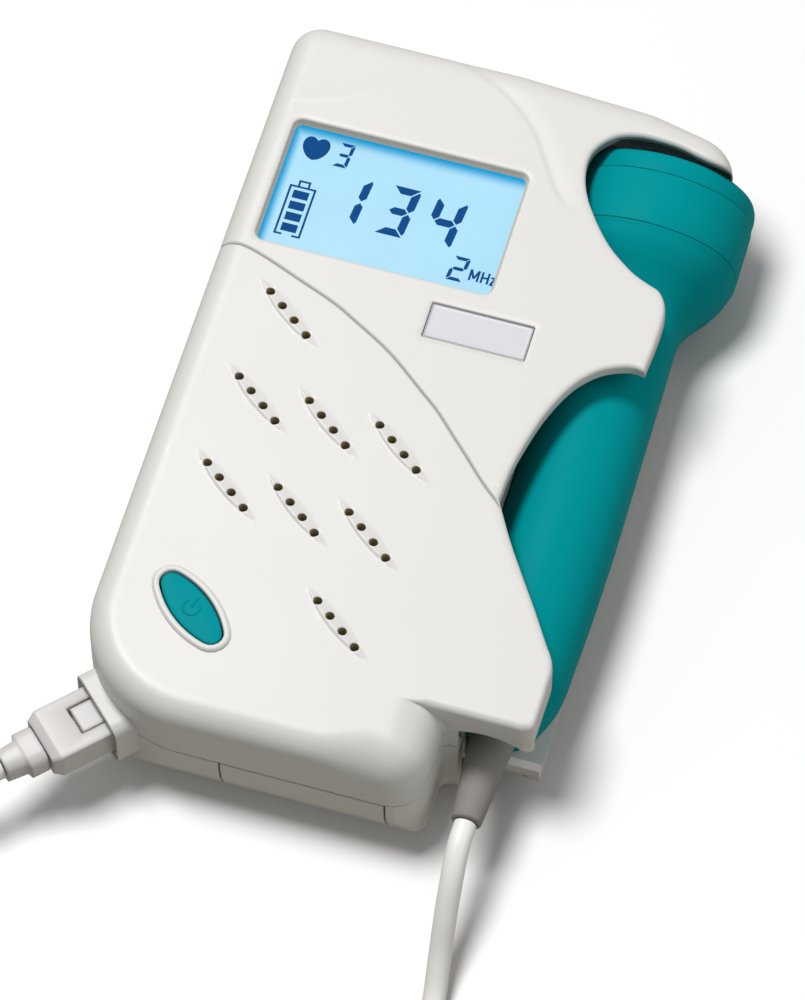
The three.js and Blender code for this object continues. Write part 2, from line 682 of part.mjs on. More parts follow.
// Rear shell
function rearShell() {
  const outer = backForm(0, seamZ - seatGap / 2);
  const inner = backForm(wall, seamZ + overrun);
  const trayWell = probeTray.intersect(outer);
  const bayShell = block(
    bayLeftX - bayWall, bayRightX + bayWall, bayEndY - bayWall, bayTopY + bayWall, 0, bayRoofZ + bayWall);
  const doorFrame = backForm(doorThick + doorGap, seamZ - seatGap / 2)
    .subtract(backForm(doorThick + doorGap + bayWall, seamZ + overrun))
    .intersect(block(bayLeftX - wall, bayRightX + wall, bottomY, bayEndY - bayWall / 2, 0, seamZ));
  const posts = screwPlaces.map(([x, y]) => rod(x, y, wall / 2, screwSink + screwLong - 3 * screwR,
    screwPostR, screwSides));
  const boss = bossBar(0).subtract(prism(housingAt(wall), 0, frontZ));
  const innerRoom = inner.subtract(probeTray);
  let shell = outer.subtract(innerRoom).add(trayWell).add(boss);
  shell = union(shell, doorFrame, bayShell.intersect(outer), ...posts.map((post) => post.intersect(outer)));
  const cells = block(bayLeftX, bayRightX, bayEndY, bayTopY, 0 - overrun, bayRoofZ);
  const screwWells = screwPlaces.map(([x, y]) => union(
    rod(x, y, 0 - overrun, screwSink, screwHeadR + seatGap, screwSides),
    rod(x, y, 0 - overrun, screwSink + screwLong, screwR + seatGap / 2, screwSides)));
  const wheelSlot = rod(
    wheelX, wheelY, wheelZ - wheelThick / 2 - seatGap, wheelZ + wheelThick / 2 + seatGap,
      wheelR + 2 * seatGap, 24);
  const jackHole = solid(new THREE.CylinderGeometry(jackCollarR + seatGap, jackCollarR + seatGap,
    4 * wall, 20)
    .translate(jackX, topY, jackZ));
  const plugRoom = socketBar(
    -bossLong - 2 * wall, overrun, plugWide + 2 * (socketWall + seatGap),
      plugHigh + 2 * (socketWall + seatGap), plugR);
  shell = shell
    .subtract(probeRoom)
    .subtract(tailEnd())
    .subtract(cells)
    .subtract(doorRoom())
    .subtract(plugRoom)
    .subtract(wheelSlot)
    .subtract(jackHole)
    .subtract(union(...screwWells));
  return shell;
}

// The wing's end: an upright wall behind the probe's tail, open for the strain relief and tucked under
// by a round
function tailEnd() {
  const farX = rightX + headR;
  const centreY = tailEndY + wingTuckR;
  const round = new THREE.CylinderGeometry(wingTuckR, wingTuckR, farX - reliefX + 2 * overrun, 40)
    .rotateZ(Math.PI / 2)
    .translate((farX + reliefX) / 2, centreY, wingTuckR);
  return block(reliefX, farX, notchY - overrun, tailEndY, 0 - overrun, seamZ + overrun)
    .add(block(reliefX, farX, notchY - overrun, tailY - probeGap / 2, tailWallZ, seamZ + overrun))
    .add(block(reliefX, farX, tailEndY - overrun, centreY, 0 - overrun, wingTuckR).subtract(solid(round)));
}

// The whole housing up to the seam, moved inwards by a depth; its lower end is tucked under by a larger
// round
function backForm(depth, topZ) {
  const rings = roundedRings(depth, backFilletR - depth, seamZ, depth, depth ? 4 : 6);
  return loft([...rings.reverse(), ringAt(depth, topZ)]).intersect(tuckForm(depth));
}

function tuckForm(depth) {
  const r = tuckR - depth;
  const steps = depth ? 5 : 7;
  const side = [];
  for (let k = 0; k <= steps; k++) {
    const a = (Math.PI / 2) * (k / steps);
    side.push(new THREE.Vector2(bottomY + tuckR - r * Math.sin(a), tuckR - r * Math.cos(a)));
  }
  side.push(new THREE.Vector2(bottomY - overrun, tuckR), new THREE.Vector2(bottomY - overrun, frontZ));
  side.push(new THREE.Vector2(topY + overrun, frontZ), new THREE.Vector2(topY + overrun, -overrun));
  side.push(new THREE.Vector2(bottomY + tuckR, -overrun));
  const span = { depth: lobeX - leftX + 2 * overrun, bevelEnabled: false };
  const swept = new THREE.ExtrudeGeometry(new THREE.Shape(side.reverse()), span);
  return solid(swept.applyMatrix4(sideTurn).translate(leftX - overrun, 0, 0));
}

// The door's room is a skin of the housing: the back plate, the round lower edge and the lower end wall
const doorBlock = (grow, topZ) =>
  block(bayLeftX - grow, bayRightX + grow, bottomY - overrun, bayTopY + grow, 0 - overrun, topZ);
const doorRoom = () => doorBlock(0, seamZ + overrun).subtract(backForm(doorThick + doorGap,
  seamZ + 2 * overrun));

function batteryDoor() {
  const skin = backForm(0, seamZ - seatGap).subtract(backForm(doorThick, seamZ + overrun));
  const gripRib = (n) => {
    const y = bayTopY - doorTravel + n * doorTongue;
    return block(cellXs[0], cellXs[1], y, y + wall / 2, 0 - overrun, doorThick / 4);
  };
  return skin.intersect(doorBlock(-doorGap, seamZ)).subtract(union(gripRib(0), gripRib(1), gripRib(2)));
}

// Display stack
function displayLens() {
  const z1 = frontZ - windowDeep - seatGap / 2;
  return prism(roundedRectangle(windowX, windowY, windowWide + 2 * lensRim, windowHigh + 2 * lensRim,
    windowR),
    z1 - lensThick, z1);
}

const lensBackZ = frontZ - windowDeep - seatGap / 2 - lensThick;
const glassBackZ = lensBackZ - seatGap - glassThick;

const aroundWindow = (x, y, z0, z1) => block(windowX - x, windowX + x, windowY - y, windowY + y, z0, z1);

function displayGlass() {
  const x = windowWide / 2 + glassRim;
  const y = windowHigh / 2 + glassRim;
  return aroundWindow(x, y, glassBackZ, glassBackZ + glassThick);
}

function displayHolder() {
  const x = windowWide / 2 + glassRim + holderRim;
  const y = windowHigh / 2 + glassRim + holderRim;
  const body = aroundWindow(x, y, boardZ + boardThick + seatGap, glassBackZ + glassThick / 2);
  const seat = aroundWindow(x - holderRim + seatGap, y - holderRim + seatGap, glassBackZ - seatGap, frontZ);
  return body.subtract(seat);
}

function namePlate() {
  const z0 = frontZ - plateDeep + seatGap / 2;
  return prism(roundedRectangle(plateX, plateY, plateWide, plateHigh, seatGap, 1), z0, z0 + plateThick);
}

// Power button: a domed leaf with a flange inside the shell and a stem to its switch
const stemEndZ = innerFrontZ - buttonTravel - 2.5 * buttonFlange;

function powerButton() {
  const ring = (grow, z) => buttonLeaf(grow).map((p) => new THREE.Vector3(p.x, p.y, z));
  const topZ = frontZ + buttonRise;
  const cap = loft([
    ring(0, innerFrontZ - buttonFlange), ring(0, topZ - buttonRise),
    ring(-0.7 * buttonRise, topZ - 0.3 * buttonRise), ring(-2 * buttonRise, topZ),
  ]);
  const flange = prism(buttonLeaf(buttonFlange), innerFrontZ - seatGap - buttonFlange,
    innerFrontZ - seatGap);
  return cap.add(flange).add(rod(buttonX, buttonY, stemEndZ, innerFrontZ, 2 * buttonFlange, 12));
}

function buttonSwitch() {
  const topZ = stemEndZ - buttonTravel - seatGap;
  const side = 3 * buttonFlange;
  const footZ = boardZ + boardThick + seatGap;
  const body = block(buttonX - side, buttonX + side, buttonY - side, buttonY + side, footZ,
    topZ - buttonTravel);
  return body.add(rod(buttonX, buttonY, footZ, topZ, 1.6 * buttonFlange, 12));
}

// Chips on the main board: their places and half sizes in shares of the speaker's radius
const chipShares = [
  [-0.5, 0.35, 0.23, 0.23], [0.35, 0.3, 0.18, 0.14], [-0.3, -0.6, 0.14, 0.21], [0.5, -0.55, 0.16, 0.16],
];

// Main board: it follows the housing, and stays clear of the probe tray, the speaker magnet and the socket
function mainBoard() {
  const plan = prism(housingAt(boardEdge), boardZ, boardZ + boardThick);
  const trayClear = probeGap + trayWall + 2 * seatGap;
  const notch = prism(bayPlan(trayClear, trayClear), 0, frontZ);
  const magnetHole = rod(speakerX, speakerY, 0, frontZ, magnetR + 2 * seatGap, 24);
  const socketClear = socketBar(-bossLong - 3 * wall, plugOut, bossWide + wall, frontZ, bossR);
  const holes = [...screwPlaces.map(([x, y]) => rod(x, y, 0, frontZ, screwPostR + seatGap, screwSides)),
    ...boardScrewPlaces.map(([x, y]) => rod(x, y, 0, frontZ, boardScrewR + seatGap, screwSides))];
  const chipZ = boardZ - boardThick / 2;
  const chips = chipShares.map((shares) => {
    const [x, y, w, h] = shares.map((share) => share * speakerR);
    return block(x - w, x + w, y - h, y + h, chipZ, boardZ + boardThick / 2);
  });
  const farEnd = block(leftX, rightX, boardTopY, topY + overrun, 0, frontZ);
  return union(plan, ...chips).subtract(notch).subtract(magnetHole).subtract(socketClear).subtract(farEnd)
    .subtract(union(...holes));
}

// Speaker
const speakerTopZ = innerFrontZ - seatGap;

function speakerFrame() {
  const z0 = speakerTopZ - speakerDeep;
  const ring = turned([
    [coneR + seatGap, speakerDeep], [coneR + 2 * seatGap, 2 * speakerDeep / 3], [magnetR * 0.7,
    0 - coneDeep * 0.35],
    [magnetR * 0.7, -coneDeep], [magnetR, -coneDeep], [speakerR, speakerDeep / 2], [speakerR, speakerDeep],
    [coneR + seatGap, speakerDeep],
  ], 32);
  return solid(place(ring, speakerX, speakerY, z0));
}

function speakerCone() {
  const z1 = speakerTopZ - seatGap;
  const cone = turned([
    [0, -coneDeep], [magnetR * 0.42, -coneDeep], [coneR - coneThick, -coneThick], [coneR, -coneThick],
    [coneR, 0],
    [coneR - 1.5 * coneThick, 0], [magnetR * 0.5, -coneDeep + coneThick], [magnetR * 0.3,
    -coneDeep + 2 * coneThick],
    [0, -coneDeep + 2.4 * coneThick],
  ], 32);
  return solid(place(cone, speakerX, speakerY, z1));
}

function speakerMagnet() {
  const z1 = speakerTopZ - speakerDeep - coneDeep - seatGap;
  const profile = [
    [0, -magnetDeep], [magnetR - magnetDeep / 6, -magnetDeep], [magnetR, -magnetDeep * 0.8], [magnetR,
    0], [0, 0],
  ];
  return solid(place(turned(profile, 24), speakerX, speakerY, z1));
}

// Volume wheel with a toothed rim, and the control under it
function volumeWheel() {
  const points = [];
  for (let i = 0; i < wheelTeeth * 2; i++) {
    const a = (Math.PI * i) / wheelTeeth;
    const r = i % 2 ? wheelR : wheelR - wheelToothDeep;
    points.push(new THREE.Vector2(wheelX + r * Math.cos(a), wheelY + r * Math.sin(a)));
  }
  return prism(points, wheelZ - wheelThick / 2, wheelZ + wheelThick / 2)
    .subtract(rod(wheelX, wheelY, 0, frontZ, wheelBoreR + seatGap, 16));
}

function volumePot() {
  const half = potSide / 2;
  const z0 = wheelZ + wheelThick / 2 + seatGap;
  const body = block(wheelX - half, wheelX + half, wheelY - half, wheelY + half, z0, boardZ - seatGap);
  return body.add(rod(wheelX, wheelY, wheelZ - wheelThick / 2 - seatGap, boardZ - seatGap, wheelBoreR, 16));
}

function earphoneJack() {
  const half = jackSide / 2;
  const backY = topY - wall - seatGap;
  const roofZ = boardZ - seatGap;
  const body = block(jackX - half, jackX + half, backY - jackLong, backY, roofZ - jackSide, roofZ);
  const collar = new THREE.CylinderGeometry(jackCollarR, jackCollarR, wall + 2 * seatGap, 20)
    .translate(jackX, backY + wall / 2, jackZ);
  const bore = new THREE.CylinderGeometry(jackBoreR, jackBoreR, jackLong, 16)
    .translate(jackX, topY - jackLong / 2 + seatGap, jackZ);
  return body.add(solid(collar)).subtract(solid(bore));
}

// Probe socket in the boss, and the plug that sits in it
function probeSocket() {
  const wide = plugWide + 2 * (plugSocketGap + socketWall - seatGap);
  const high = plugHigh + 2 * (plugSocketGap + socketWall - seatGap);
  const body = socketBar(-bossLong - 1.6 * wall, -seatGap, wide, high, plugR);
  const room = 2 * plugSocketGap;
  return body.subtract(socketBar(-plugIn - 2 * seatGap, overrun, plugWide + room, plugHigh + room, plugR));
}

const latchFromX = -plugIn + socketWall;
const latchZ = plugHigh / 2 - latchThick - seatGap / 2;

function plugBody() {
  const outline = (grow, x) => roundedRectangle(0, 0, plugWide - 2 * grow, plugHigh - 2 * grow, plugR, 2)
    .map((p) => new THREE.Vector3(p.x, p.y, x));
  const bar = loft([
    outline(plugR / 2, -plugIn), outline(0, -plugIn + plugR), outline(0, plugOut - 2 * plugR),
      outline(plugR, plugOut),
  ]);
  const body = atSocket(geometryOf(bar).applyMatrix4(sideTurn));
  const slotHigh = latchThick + latchRoom + overrun;
  const slot = new THREE.BoxGeometry(latchOut - latchFromX + 3 * seatGap, latchWide + 2 * seatGap, slotHigh)
    .translate((latchOut + latchFromX + seatGap) / 2, 0, latchZ - latchRoom + slotHigh / 2);
  return body.subtract(atSocket(slot));
}

function plugLatch() {
  const lever = new THREE.BoxGeometry(latchOut - latchFromX, latchWide, latchThick)
    .translate((latchOut + latchFromX) / 2, 0, latchZ + latchThick / 2);
  return atSocket(lever);
}

function plugBoot() {
  const z = cordR + 1.1 * plugR;
  const outline = (wide, high, x) => roundedRectangle(0, 0, wide, high, high / 2.6, 3)
    .map((p) => new THREE.Vector3(p.x, p.y, x));
  const from = plugOut + seatGap;
  const bar = loft([
    outline(bootWide, 2 * z, from), outline(bootWide, 2 * z, from + 0.45 * bootLong),
    outline(0.74 * bootWide, 1.8 * z, from + 0.5 * bootLong), outline(2.6 * cordR, 2.6 * cordR,
      from + bootLong),
  ]);
  return atSocket(geometryOf(bar).applyMatrix4(sideTurn));
}

// Batteries and their contacts
function batteryCell(n) {
  const up = n === 0 ? 1 : -1;
  const middleY = (bayTopY + bayEndY) / 2;
  const half = (cellLong + nubLong) / 2;
  const profile = [
    [0, -half], [cellR - 0.08 * cellR, -half], [cellR, -half + 0.08 * cellR], [cellR,
    half - nubLong - 0.08 * cellR],
    [cellR - 0.08 * cellR, half - nubLong], [nubR, half - nubLong], [nubR, half], [0, half],
  ];
  const lathe = new THREE.LatheGeometry(profile.map(([r, y]) => new THREE.Vector2(r, y)), 24);
  if (up < 0) lathe.rotateX(Math.PI);
  return solid(lathe.translate(cellXs[n], middleY, cellZ));
}

function contactPlate(x0, x1, atTop) {
  const y0 = atTop ? bayTopY - seatGap - contactThick : bayEndY + seatGap;
  return block(x0, x1, y0, y0 + contactThick, cellZ - contactHigh / 2, cellZ + contactHigh / 2);
}

// Screws: pan heads at their lower ends, shanks up
function screwUp(x, y, z, r, headRadius, headHigh, long) {
  const profile = [[0, 0], [headRadius * 0.8, 0], [headRadius, headHigh * 0.35], [headRadius, headHigh],
    [r, headHigh], [r, headHigh + long], [0, headHigh + long]];
  const screw = solid(place(turned(profile, screwSides), x, y, z));
  const slot = headRadius * 0.75;
  const cross = block(x - slot, x + slot, y - r / 3, y + r / 3, z - headHigh, z + headHigh / 2)
    .add(block(x - r / 3, x + r / 3, y - slot, y + slot, z - headHigh, z + headHigh / 2));
  return screw.subtract(cross);
}

// Probe pieces
const sealY = headBackY;
const bellInnerR = headR - probeWall;

function probeFace() {
  const rise = faceY - capY;
  return solid(onProbe([
    [0, capY + seatGap], [headR * 0.94, capY + seatGap], [headR * 0.965, capY + rise * 0.3],
    [headR * 0.955, faceY - rise * 0.42],
    [headR * 0.9, faceY - rise * 0.16], [headR * 0.8, faceY - rise * 0.03], [headR * 0.6, faceY], [0, faceY],
  ]));
}

function probeHead() {
  const body = onProbe([
    [bellInnerR, sealY + 2 * seatGap], [headR * 0.985, sealY + seatGap], [headR, sealY + 3 * seatGap],
    [headR, capY - 4 * seatGap],
    [headR * 0.975, capY - seatGap], [headR * 0.94, capY], [headR * 0.7, capY], [headR * 0.7,
    capY - probeWall],
    [bellInnerR, capY - probeWall], [bellInnerR, sealY + 2 * seatGap],
  ]);
  return solid(body);
}

function probeHandle() {
  const outer = handleProfile;
  const last = outer.length - 1;
  const innerPart = outer.slice(1).map(([r, y]) => [r - probeWall, y]);
  innerPart[innerPart.length - 1][1] = sealY + overrun / 4;
  const profile = [
    [0, tailY], ...outer.slice(0, last), [headR * 0.99, sealY - seatGap], [headR * 0.985, sealY],
    [bellInnerR, sealY], ...innerPart.slice(0, -1).reverse(), [0, innerPart[0][1]],
  ];
  return solid(onProbe(profile));
}

const crystalR = headR * 0.66;

function crystal(side) {
  const disc = onProbe([
    [0, capY - seatGap - crystalThick], [crystalR, capY - seatGap - crystalThick], [crystalR,
    capY - seatGap], [0, capY - seatGap],
  ]);
  const x0 = probeX + (side > 0 ? crystalSplit / 2 : -headR);
  const x1 = probeX + (side > 0 ? headR : -crystalSplit / 2);
  return solid(disc).intersect(block(x0, x1, 0, faceY, probeZ - headR, probeZ + headR));
}

function transducerBacking() {
  const y1 = capY - 2 * seatGap - crystalThick;
  return solid(onProbe([
    [0, sealY + probeWall], [crystalR, sealY + probeWall], [crystalR, y1], [0, y1],
  ], 32));
}

function probeSealRing() {
  const r = bellInnerR - seatGap;
  return solid(onProbe([
    [r - probeWall / 2, sealY - probeWall / 4], [r, sealY - probeWall / 4], [r, sealY + probeWall / 2],
    [r - probeWall / 2, sealY + probeWall / 2], [r - probeWall / 2, sealY - probeWall / 4],
  ], 32));
}

function probeBoard() {
  const y1 = sealY - probeWall;
  const half = handleR - probeWall - 2 * seatGap;
  return block(probeX - half, probeX + half, 4 * neckY, y1, probeZ - boardThick / 2,
    probeZ + boardThick / 2);
}

const reliefEndY = tailY - seatGap - reliefLong;

function probeStrainRelief() {
  const step = (reliefStartR - reliefEndR) / 6;
  const start = tailY - seatGap;
  return solid(onProbe([
    [0, reliefEndY], [reliefEndR - step, reliefEndY], [reliefEndR, reliefEndY + step], [reliefEndR,
    reliefEndY + 3 * step],
    [reliefStartR * 0.97, start - 2 * step], [reliefStartR, start - step], [reliefStartR, start], [0, start],
  ], 20));
}

// Coil: it winds in on the upper layer, drops a layer in the half turn where it turns back, and winds
// out below
const coilZ = cordR + tieThick + tieGap;

function coilLine(steps) {
  const points = [];
  const startDeg = coilStartDeg;
  const totalDeg = 2 * coilTurnsEach * 360 + coilEndDeg - startDeg - 360;
  const climbFrom = coilTurnsEach * 360 - 90;
  const climbTo = coilTurnsEach * 360 + 90;
  const count = Math.round((totalDeg / 360) * steps);
  for (let i = 0; i <= count; i++) {
    const turnedDeg = (totalDeg * i) / count;
    const inwards = Math.min(turnedDeg, coilTurnsEach * 360) / 360;
    const outwards = Math.max(turnedDeg - coilTurnsEach * 360, 0) / 360;
    const r = coilOuterR - coilPitch * (inwards - outwards);
    const climb = THREE.MathUtils.smoothstep(turnedDeg, climbFrom, climbTo);
    const a = THREE.MathUtils.degToRad(startDeg + turnedDeg);
    points.push(new THREE.Vector3(coilX + r * Math.cos(a), coilY + r * Math.sin(a),
      coilZ + coilLayer * (1 - climb)));
  }
  return points;
}

function leastGap(points, diameter) {
  let least = Infinity;
  for (let i = 0; i < points.length; i++) {
    for (let j = i + coilSteps / 3; j < points.length; j++) {
      least = Math.min(least, points[i].distanceTo(points[j]) - diameter);
    }
  }
  return least;
}

// A tube round a line of points, joined ring to ring
function tubeRings(points, r, sides) {
  const up = new THREE.Vector3(0, 0, 1);
  return points.map((p, i) => {
    const before = points[Math.max(i - 1, 0)];
    const after = points[Math.min(i + 1, points.length - 1)];
    const way = after.clone().sub(before).normalize();
    const side = new THREE.Vector3().crossVectors(up, way).normalize();
    const top = new THREE.Vector3().crossVectors(way, side);
    const ring = [];
    for (let k = 0; k < sides; k++) {
      const a = (2 * Math.PI * k) / sides;
      ring.push(p.clone().addScaledVector(side, r * Math.cos(a)).addScaledVector(top, r * Math.sin(a)));
    }
    return ring;
  });
}

function tubeSolid(rings) {
  const sides = rings[0].length;
  const positions = rings.flatMap((ring) => ring.flatMap((p) => [p.x, p.y, p.z]));
  const index = [];
  for (let k = 0; k + 1 < rings.length; k++) {
    for (let i = 0; i < sides; i++) {
      const j = (i + 1) % sides;
      const a = k * sides;
      const b = a + sides;
      index.push(a + i, a + j, b + j, a + i, b + j, b + i);
    }
  }
  const last = (rings.length - 1) * sides;
  for (let i = 1; i + 1 < sides; i++) {
    index.push(0, i + 1, i);
    index.push(last, last + i, last + i + 1);
  }
  const geometry = new THREE.BufferGeometry();
  geometry.setAttribute("position", new THREE.Float32BufferAttribute(positions, 3));
  geometry.setIndex(index);
  return geometry;
}

const coilPoints = coilLine(coilSteps);
console.log("least gap of the coil to itself, mm: " + leastGap(coilPoints, 2 * cordR).toFixed(2));

// A stretch's two ends run straight on from a piece's face: a gap away from it, and a tube's diameter
// further on
const straightEnd = (face, way) =>
  [seatGap, seatGap + 2 * cordR].map((reach) => face.clone().addScaledVector(way, reach));

const coilEnds = [[0, 1], [-1, -2]].map(([end, next]) => {
  const face = coilPoints.at(end);
  return straightEnd(face, face.clone().sub(coilPoints.at(next)).normalize());
});
const probeEnd = straightEnd(new THREE.Vector3(probeX, reliefEndY, probeZ), new THREE.Vector3(0, -1, 0));
const bootEnd = straightEnd(new THREE.Vector3(plugOut + seatGap + bootLong, 0, 0), new THREE.Vector3(1,
  0, 0))
  .map((p) => p.applyMatrix4(socketFrame));
const through = (start, via, end) =>
  [...start, ...via.map(([x, y, z]) => new THREE.Vector3(x * mm, y * mm, z * mm)), ...end.reverse()];

function cordStretch(points, steps) {
  const curve = new THREE.CatmullRomCurve3(points, false, "centripetal");
  const section = new THREE.Shape();
  for (let k = 0; k < cordSides; k++) {
    const a = (2 * Math.PI * (k + 0.5)) / cordSides;
    const x = cordR * Math.cos(a);
    const y = cordR * Math.sin(a);
    if (k) section.lineTo(x, y);
    else section.moveTo(x, y);
  }
  return solid(new THREE.ExtrudeGeometry(section, { steps, bevelEnabled: false, extrudePath: curve }));
}

// A strap round the bundle of turns, a rounded frame that lies across them
function cordTie() {
  const innerR = coilOuterR - (coilTurnsEach - 0.5) * coilPitch - cordR - 3 * tieGap;
  const outerR = coilOuterR - 0.5 * coilPitch + cordR + tieGap;
  const high = coilLayer + 2 * (cordR + tieGap);
  const middle = (innerR + outerR) / 2;
  const wide = outerR - innerR;
  const shape = new THREE.Shape(roundedRectangle(0, 0, wide + 2 * tieThick, high + 2 * tieThick, cordR, 3));
  shape.holes.push(new THREE.Path(roundedRectangle(0, 0, wide, high, cordR - tieThick, 3)));
  const strap = new THREE.ExtrudeGeometry(shape, { depth: tieWide, bevelEnabled: false }).translate(0,
    0, -tieWide / 2);
  strap.rotateX(Math.PI / 2).translate(coilX + middle, coilY, coilZ + coilLayer / 2);
  return solid(strap);
}

// Assembly
const monitor = new THREE.Group();
const groups = {};
for (const name of ["housing", "display", "probe", "plug", "battery", "cord"]) {
  groups[name] = new THREE.Group();
  monitor.add(groups[name]);
}

function add(group, name, body, material) {
  const mesh = new THREE.Mesh(body.isBufferGeometry ? body : geometryOf(body), material);
  mesh.name = name;
  groups[group].add(mesh);
  return mesh;
}

add("housing", "front_shell", frontShell(), shellWhite);
add("housing", "rear_shell", rearShell(), shellWhite);
add("housing", "battery_door", batteryDoor(), doorWhite);
add("housing", "name_plate", namePlate(), plateSilver);
add("housing", "power_button", powerButton(), buttonTeal);
add("housing", "button_switch", buttonSwitch(), darkPlastic);
add("housing", "main_board", mainBoard(), boardGreen);
add("housing", "speaker_frame", speakerFrame(), darkPlastic);
add("housing", "speaker_cone", speakerCone(), paper);
add("housing", "speaker_magnet", speakerMagnet(), steel);
add("housing", "volume_wheel", volumeWheel(), darkPlastic);
add("housing", "volume_control", volumePot(), resin);
add("housing", "earphone_jack", earphoneJack(), darkPlastic);
add("housing", "probe_socket", probeSocket(), plugWhite);
add("display", "display_lens", displayLens(), lensClear);
add("display", "display_glass", displayGlass(), displayBlue);
add("display", "display_holder", displayHolder(), plugWhite);
screwPlaces.forEach(([x, y], i) =>
  add("housing", "case_screw_" + (i + 1), screwUp(x, y, screwSink - screwHeadHigh - seatGap, screwR,
    screwHeadR, screwHeadHigh, screwLong), steel));
boardScrewPlaces.forEach(([x, y], i) =>
  add("housing", "board_screw_" + (i + 1), screwUp(x, y, boardZ - boardThick - seatGap, boardScrewR,
    boardScrewHeadR, boardThick, boardScrewLong), steel));
for (const n of [0, 1]) {
  add("battery", "battery_cell_" + (n + 1), batteryCell(n), cellSleeve);
  add("battery", "battery_contact_" + (n + 1), contactPlate(cellXs[n] - contactWide / 2,
    cellXs[n] + contactWide / 2, true), steel);
}
add("battery", "battery_bridge", contactPlate(cellXs[0] - contactWide / 2, cellXs[1] + contactWide / 2,
  false), steel);
add("probe", "probe_face", probeFace(), teal);
add("probe", "probe_head", probeHead(), teal);
add("probe", "probe_handle", probeHandle(), teal);
add("probe", "transmit_crystal", crystal(-1), ceramic);
add("probe", "receive_crystal", crystal(1), ceramic);
add("probe", "transducer_backing", transducerBacking(), resin);
add("probe", "probe_seal_ring", probeSealRing(), sealRubber);
add("probe", "probe_board", probeBoard(), boardGreen);
add("probe", "probe_strain_relief", probeStrainRelief(), reliefGrey);
add("plug", "plug_body", plugBody(), plugWhite);
add("plug", "plug_latch", plugLatch(), plugWhite);
add("plug", "plug_boot", plugBoot(), plugWhite);
add("cord", "cord_from_probe", cordStretch(through(probeEnd, fromProbeVia, coilEnds[1]), 36), cordWhite);
add("cord", "cord_coil", tubeSolid(tubeRings(coilPoints, cordR, coilSides)), cordWhite);
add("cord", "cord_to_plug", cordStretch(through(bootEnd, toPlugVia, coilEnds[0]), 26), cordWhite);
add("cord", "cord_tie", cordTie(), sealRubber);

// The part's own zero: the middle of the base of everything but the cord
const solidBox = new THREE.Box3();
for (const name of ["housing", "display", "probe", "battery"]) solidBox.expandByObject(groups[name]);
const middle = solidBox.getCenter(new THREE.Vector3());
monitor.position.set(-middle.x, -middle.y, -solidBox.min.z);

export default monitor;
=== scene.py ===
"""Looks of a pocket fetal monitor with a docked ultrasound probe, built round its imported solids.

Lengths in the code are millimetres from the middle of the display window, with Z from the housing's back.
"""

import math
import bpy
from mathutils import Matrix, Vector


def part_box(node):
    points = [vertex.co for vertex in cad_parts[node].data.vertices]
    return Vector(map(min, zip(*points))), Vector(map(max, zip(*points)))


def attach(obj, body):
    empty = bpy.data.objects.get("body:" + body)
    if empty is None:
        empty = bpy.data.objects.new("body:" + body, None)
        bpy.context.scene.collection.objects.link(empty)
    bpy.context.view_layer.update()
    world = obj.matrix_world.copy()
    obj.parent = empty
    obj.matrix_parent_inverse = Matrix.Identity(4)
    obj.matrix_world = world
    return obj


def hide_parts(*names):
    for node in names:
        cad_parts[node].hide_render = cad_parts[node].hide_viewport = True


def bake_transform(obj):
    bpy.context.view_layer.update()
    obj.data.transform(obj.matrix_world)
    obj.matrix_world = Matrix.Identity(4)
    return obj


bl_info = {
    "name": "Pocket Fetal Monitor",
    "version": (1, 0, 0),
    "blender": (4, 5, 0),
    "location": "View3D > Sidebar > Fetal Monitor",
    "description": "Builds the dressed model of a pocket fetal monitor and its stage",
    "category": "Add Mesh",
}

import bmesh
import bpy
import numpy as np
from bpy.props import FloatProperty, FloatVectorProperty, IntProperty, PointerProperty
from mathutils import Matrix, Quaternion, Vector, geometry

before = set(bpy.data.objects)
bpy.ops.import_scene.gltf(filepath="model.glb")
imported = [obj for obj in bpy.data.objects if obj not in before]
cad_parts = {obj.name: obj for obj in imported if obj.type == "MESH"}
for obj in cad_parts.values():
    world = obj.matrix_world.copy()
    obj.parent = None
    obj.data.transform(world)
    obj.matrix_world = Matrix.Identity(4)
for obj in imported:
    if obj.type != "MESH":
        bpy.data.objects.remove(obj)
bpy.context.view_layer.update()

MM = 0.001
LENS_LOW, LENS_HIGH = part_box("display_lens")
WINDOW = (-0.3, 0.55, 42.6, 25.3)
LENS_MIDDLE = [(low + high) / 2 for low, high in zip(LENS_LOW, LENS_HIGH)]
ORIGIN = Vector((LENS_MIDDLE[0] - WINDOW[0] * MM, LENS_MIDDLE[1] - WINDOW[1] * MM, 0))

# Housing outline: corner places, their radii and their steps
FRONT_Z = 35
SEAM_Z = 22.2
SEAM_GAP = 0.15
WALL_FOOT_Z = SEAM_Z + SEAM_GAP
LEFT_X = -27.7
RIGHT_X = 52.3
TOP_Y = 35.1
BOTTOM_Y = -107.4
NOTCH_X = 36.2
NOTCH_Y = -93.2
CORNERS = [
    (LEFT_X, BOTTOM_Y, 21, 27),
    (NOTCH_X, BOTTOM_Y, 7.5, 14),
    (NOTCH_X, NOTCH_Y, 1.2, 6),
    (RIGHT_X, NOTCH_Y, 2.6, 8),
    (RIGHT_X, 5.8, 16.6, 6),
    (57.3, 22.4, 4.15, 7),
    (53.15, 30.5, 8.3, 10),
    (39.04, 33.72, 16.6, 6),
    (14.14, TOP_Y, 16.6, 6),
    (LEFT_X, TOP_Y, 5.5, 12),
]

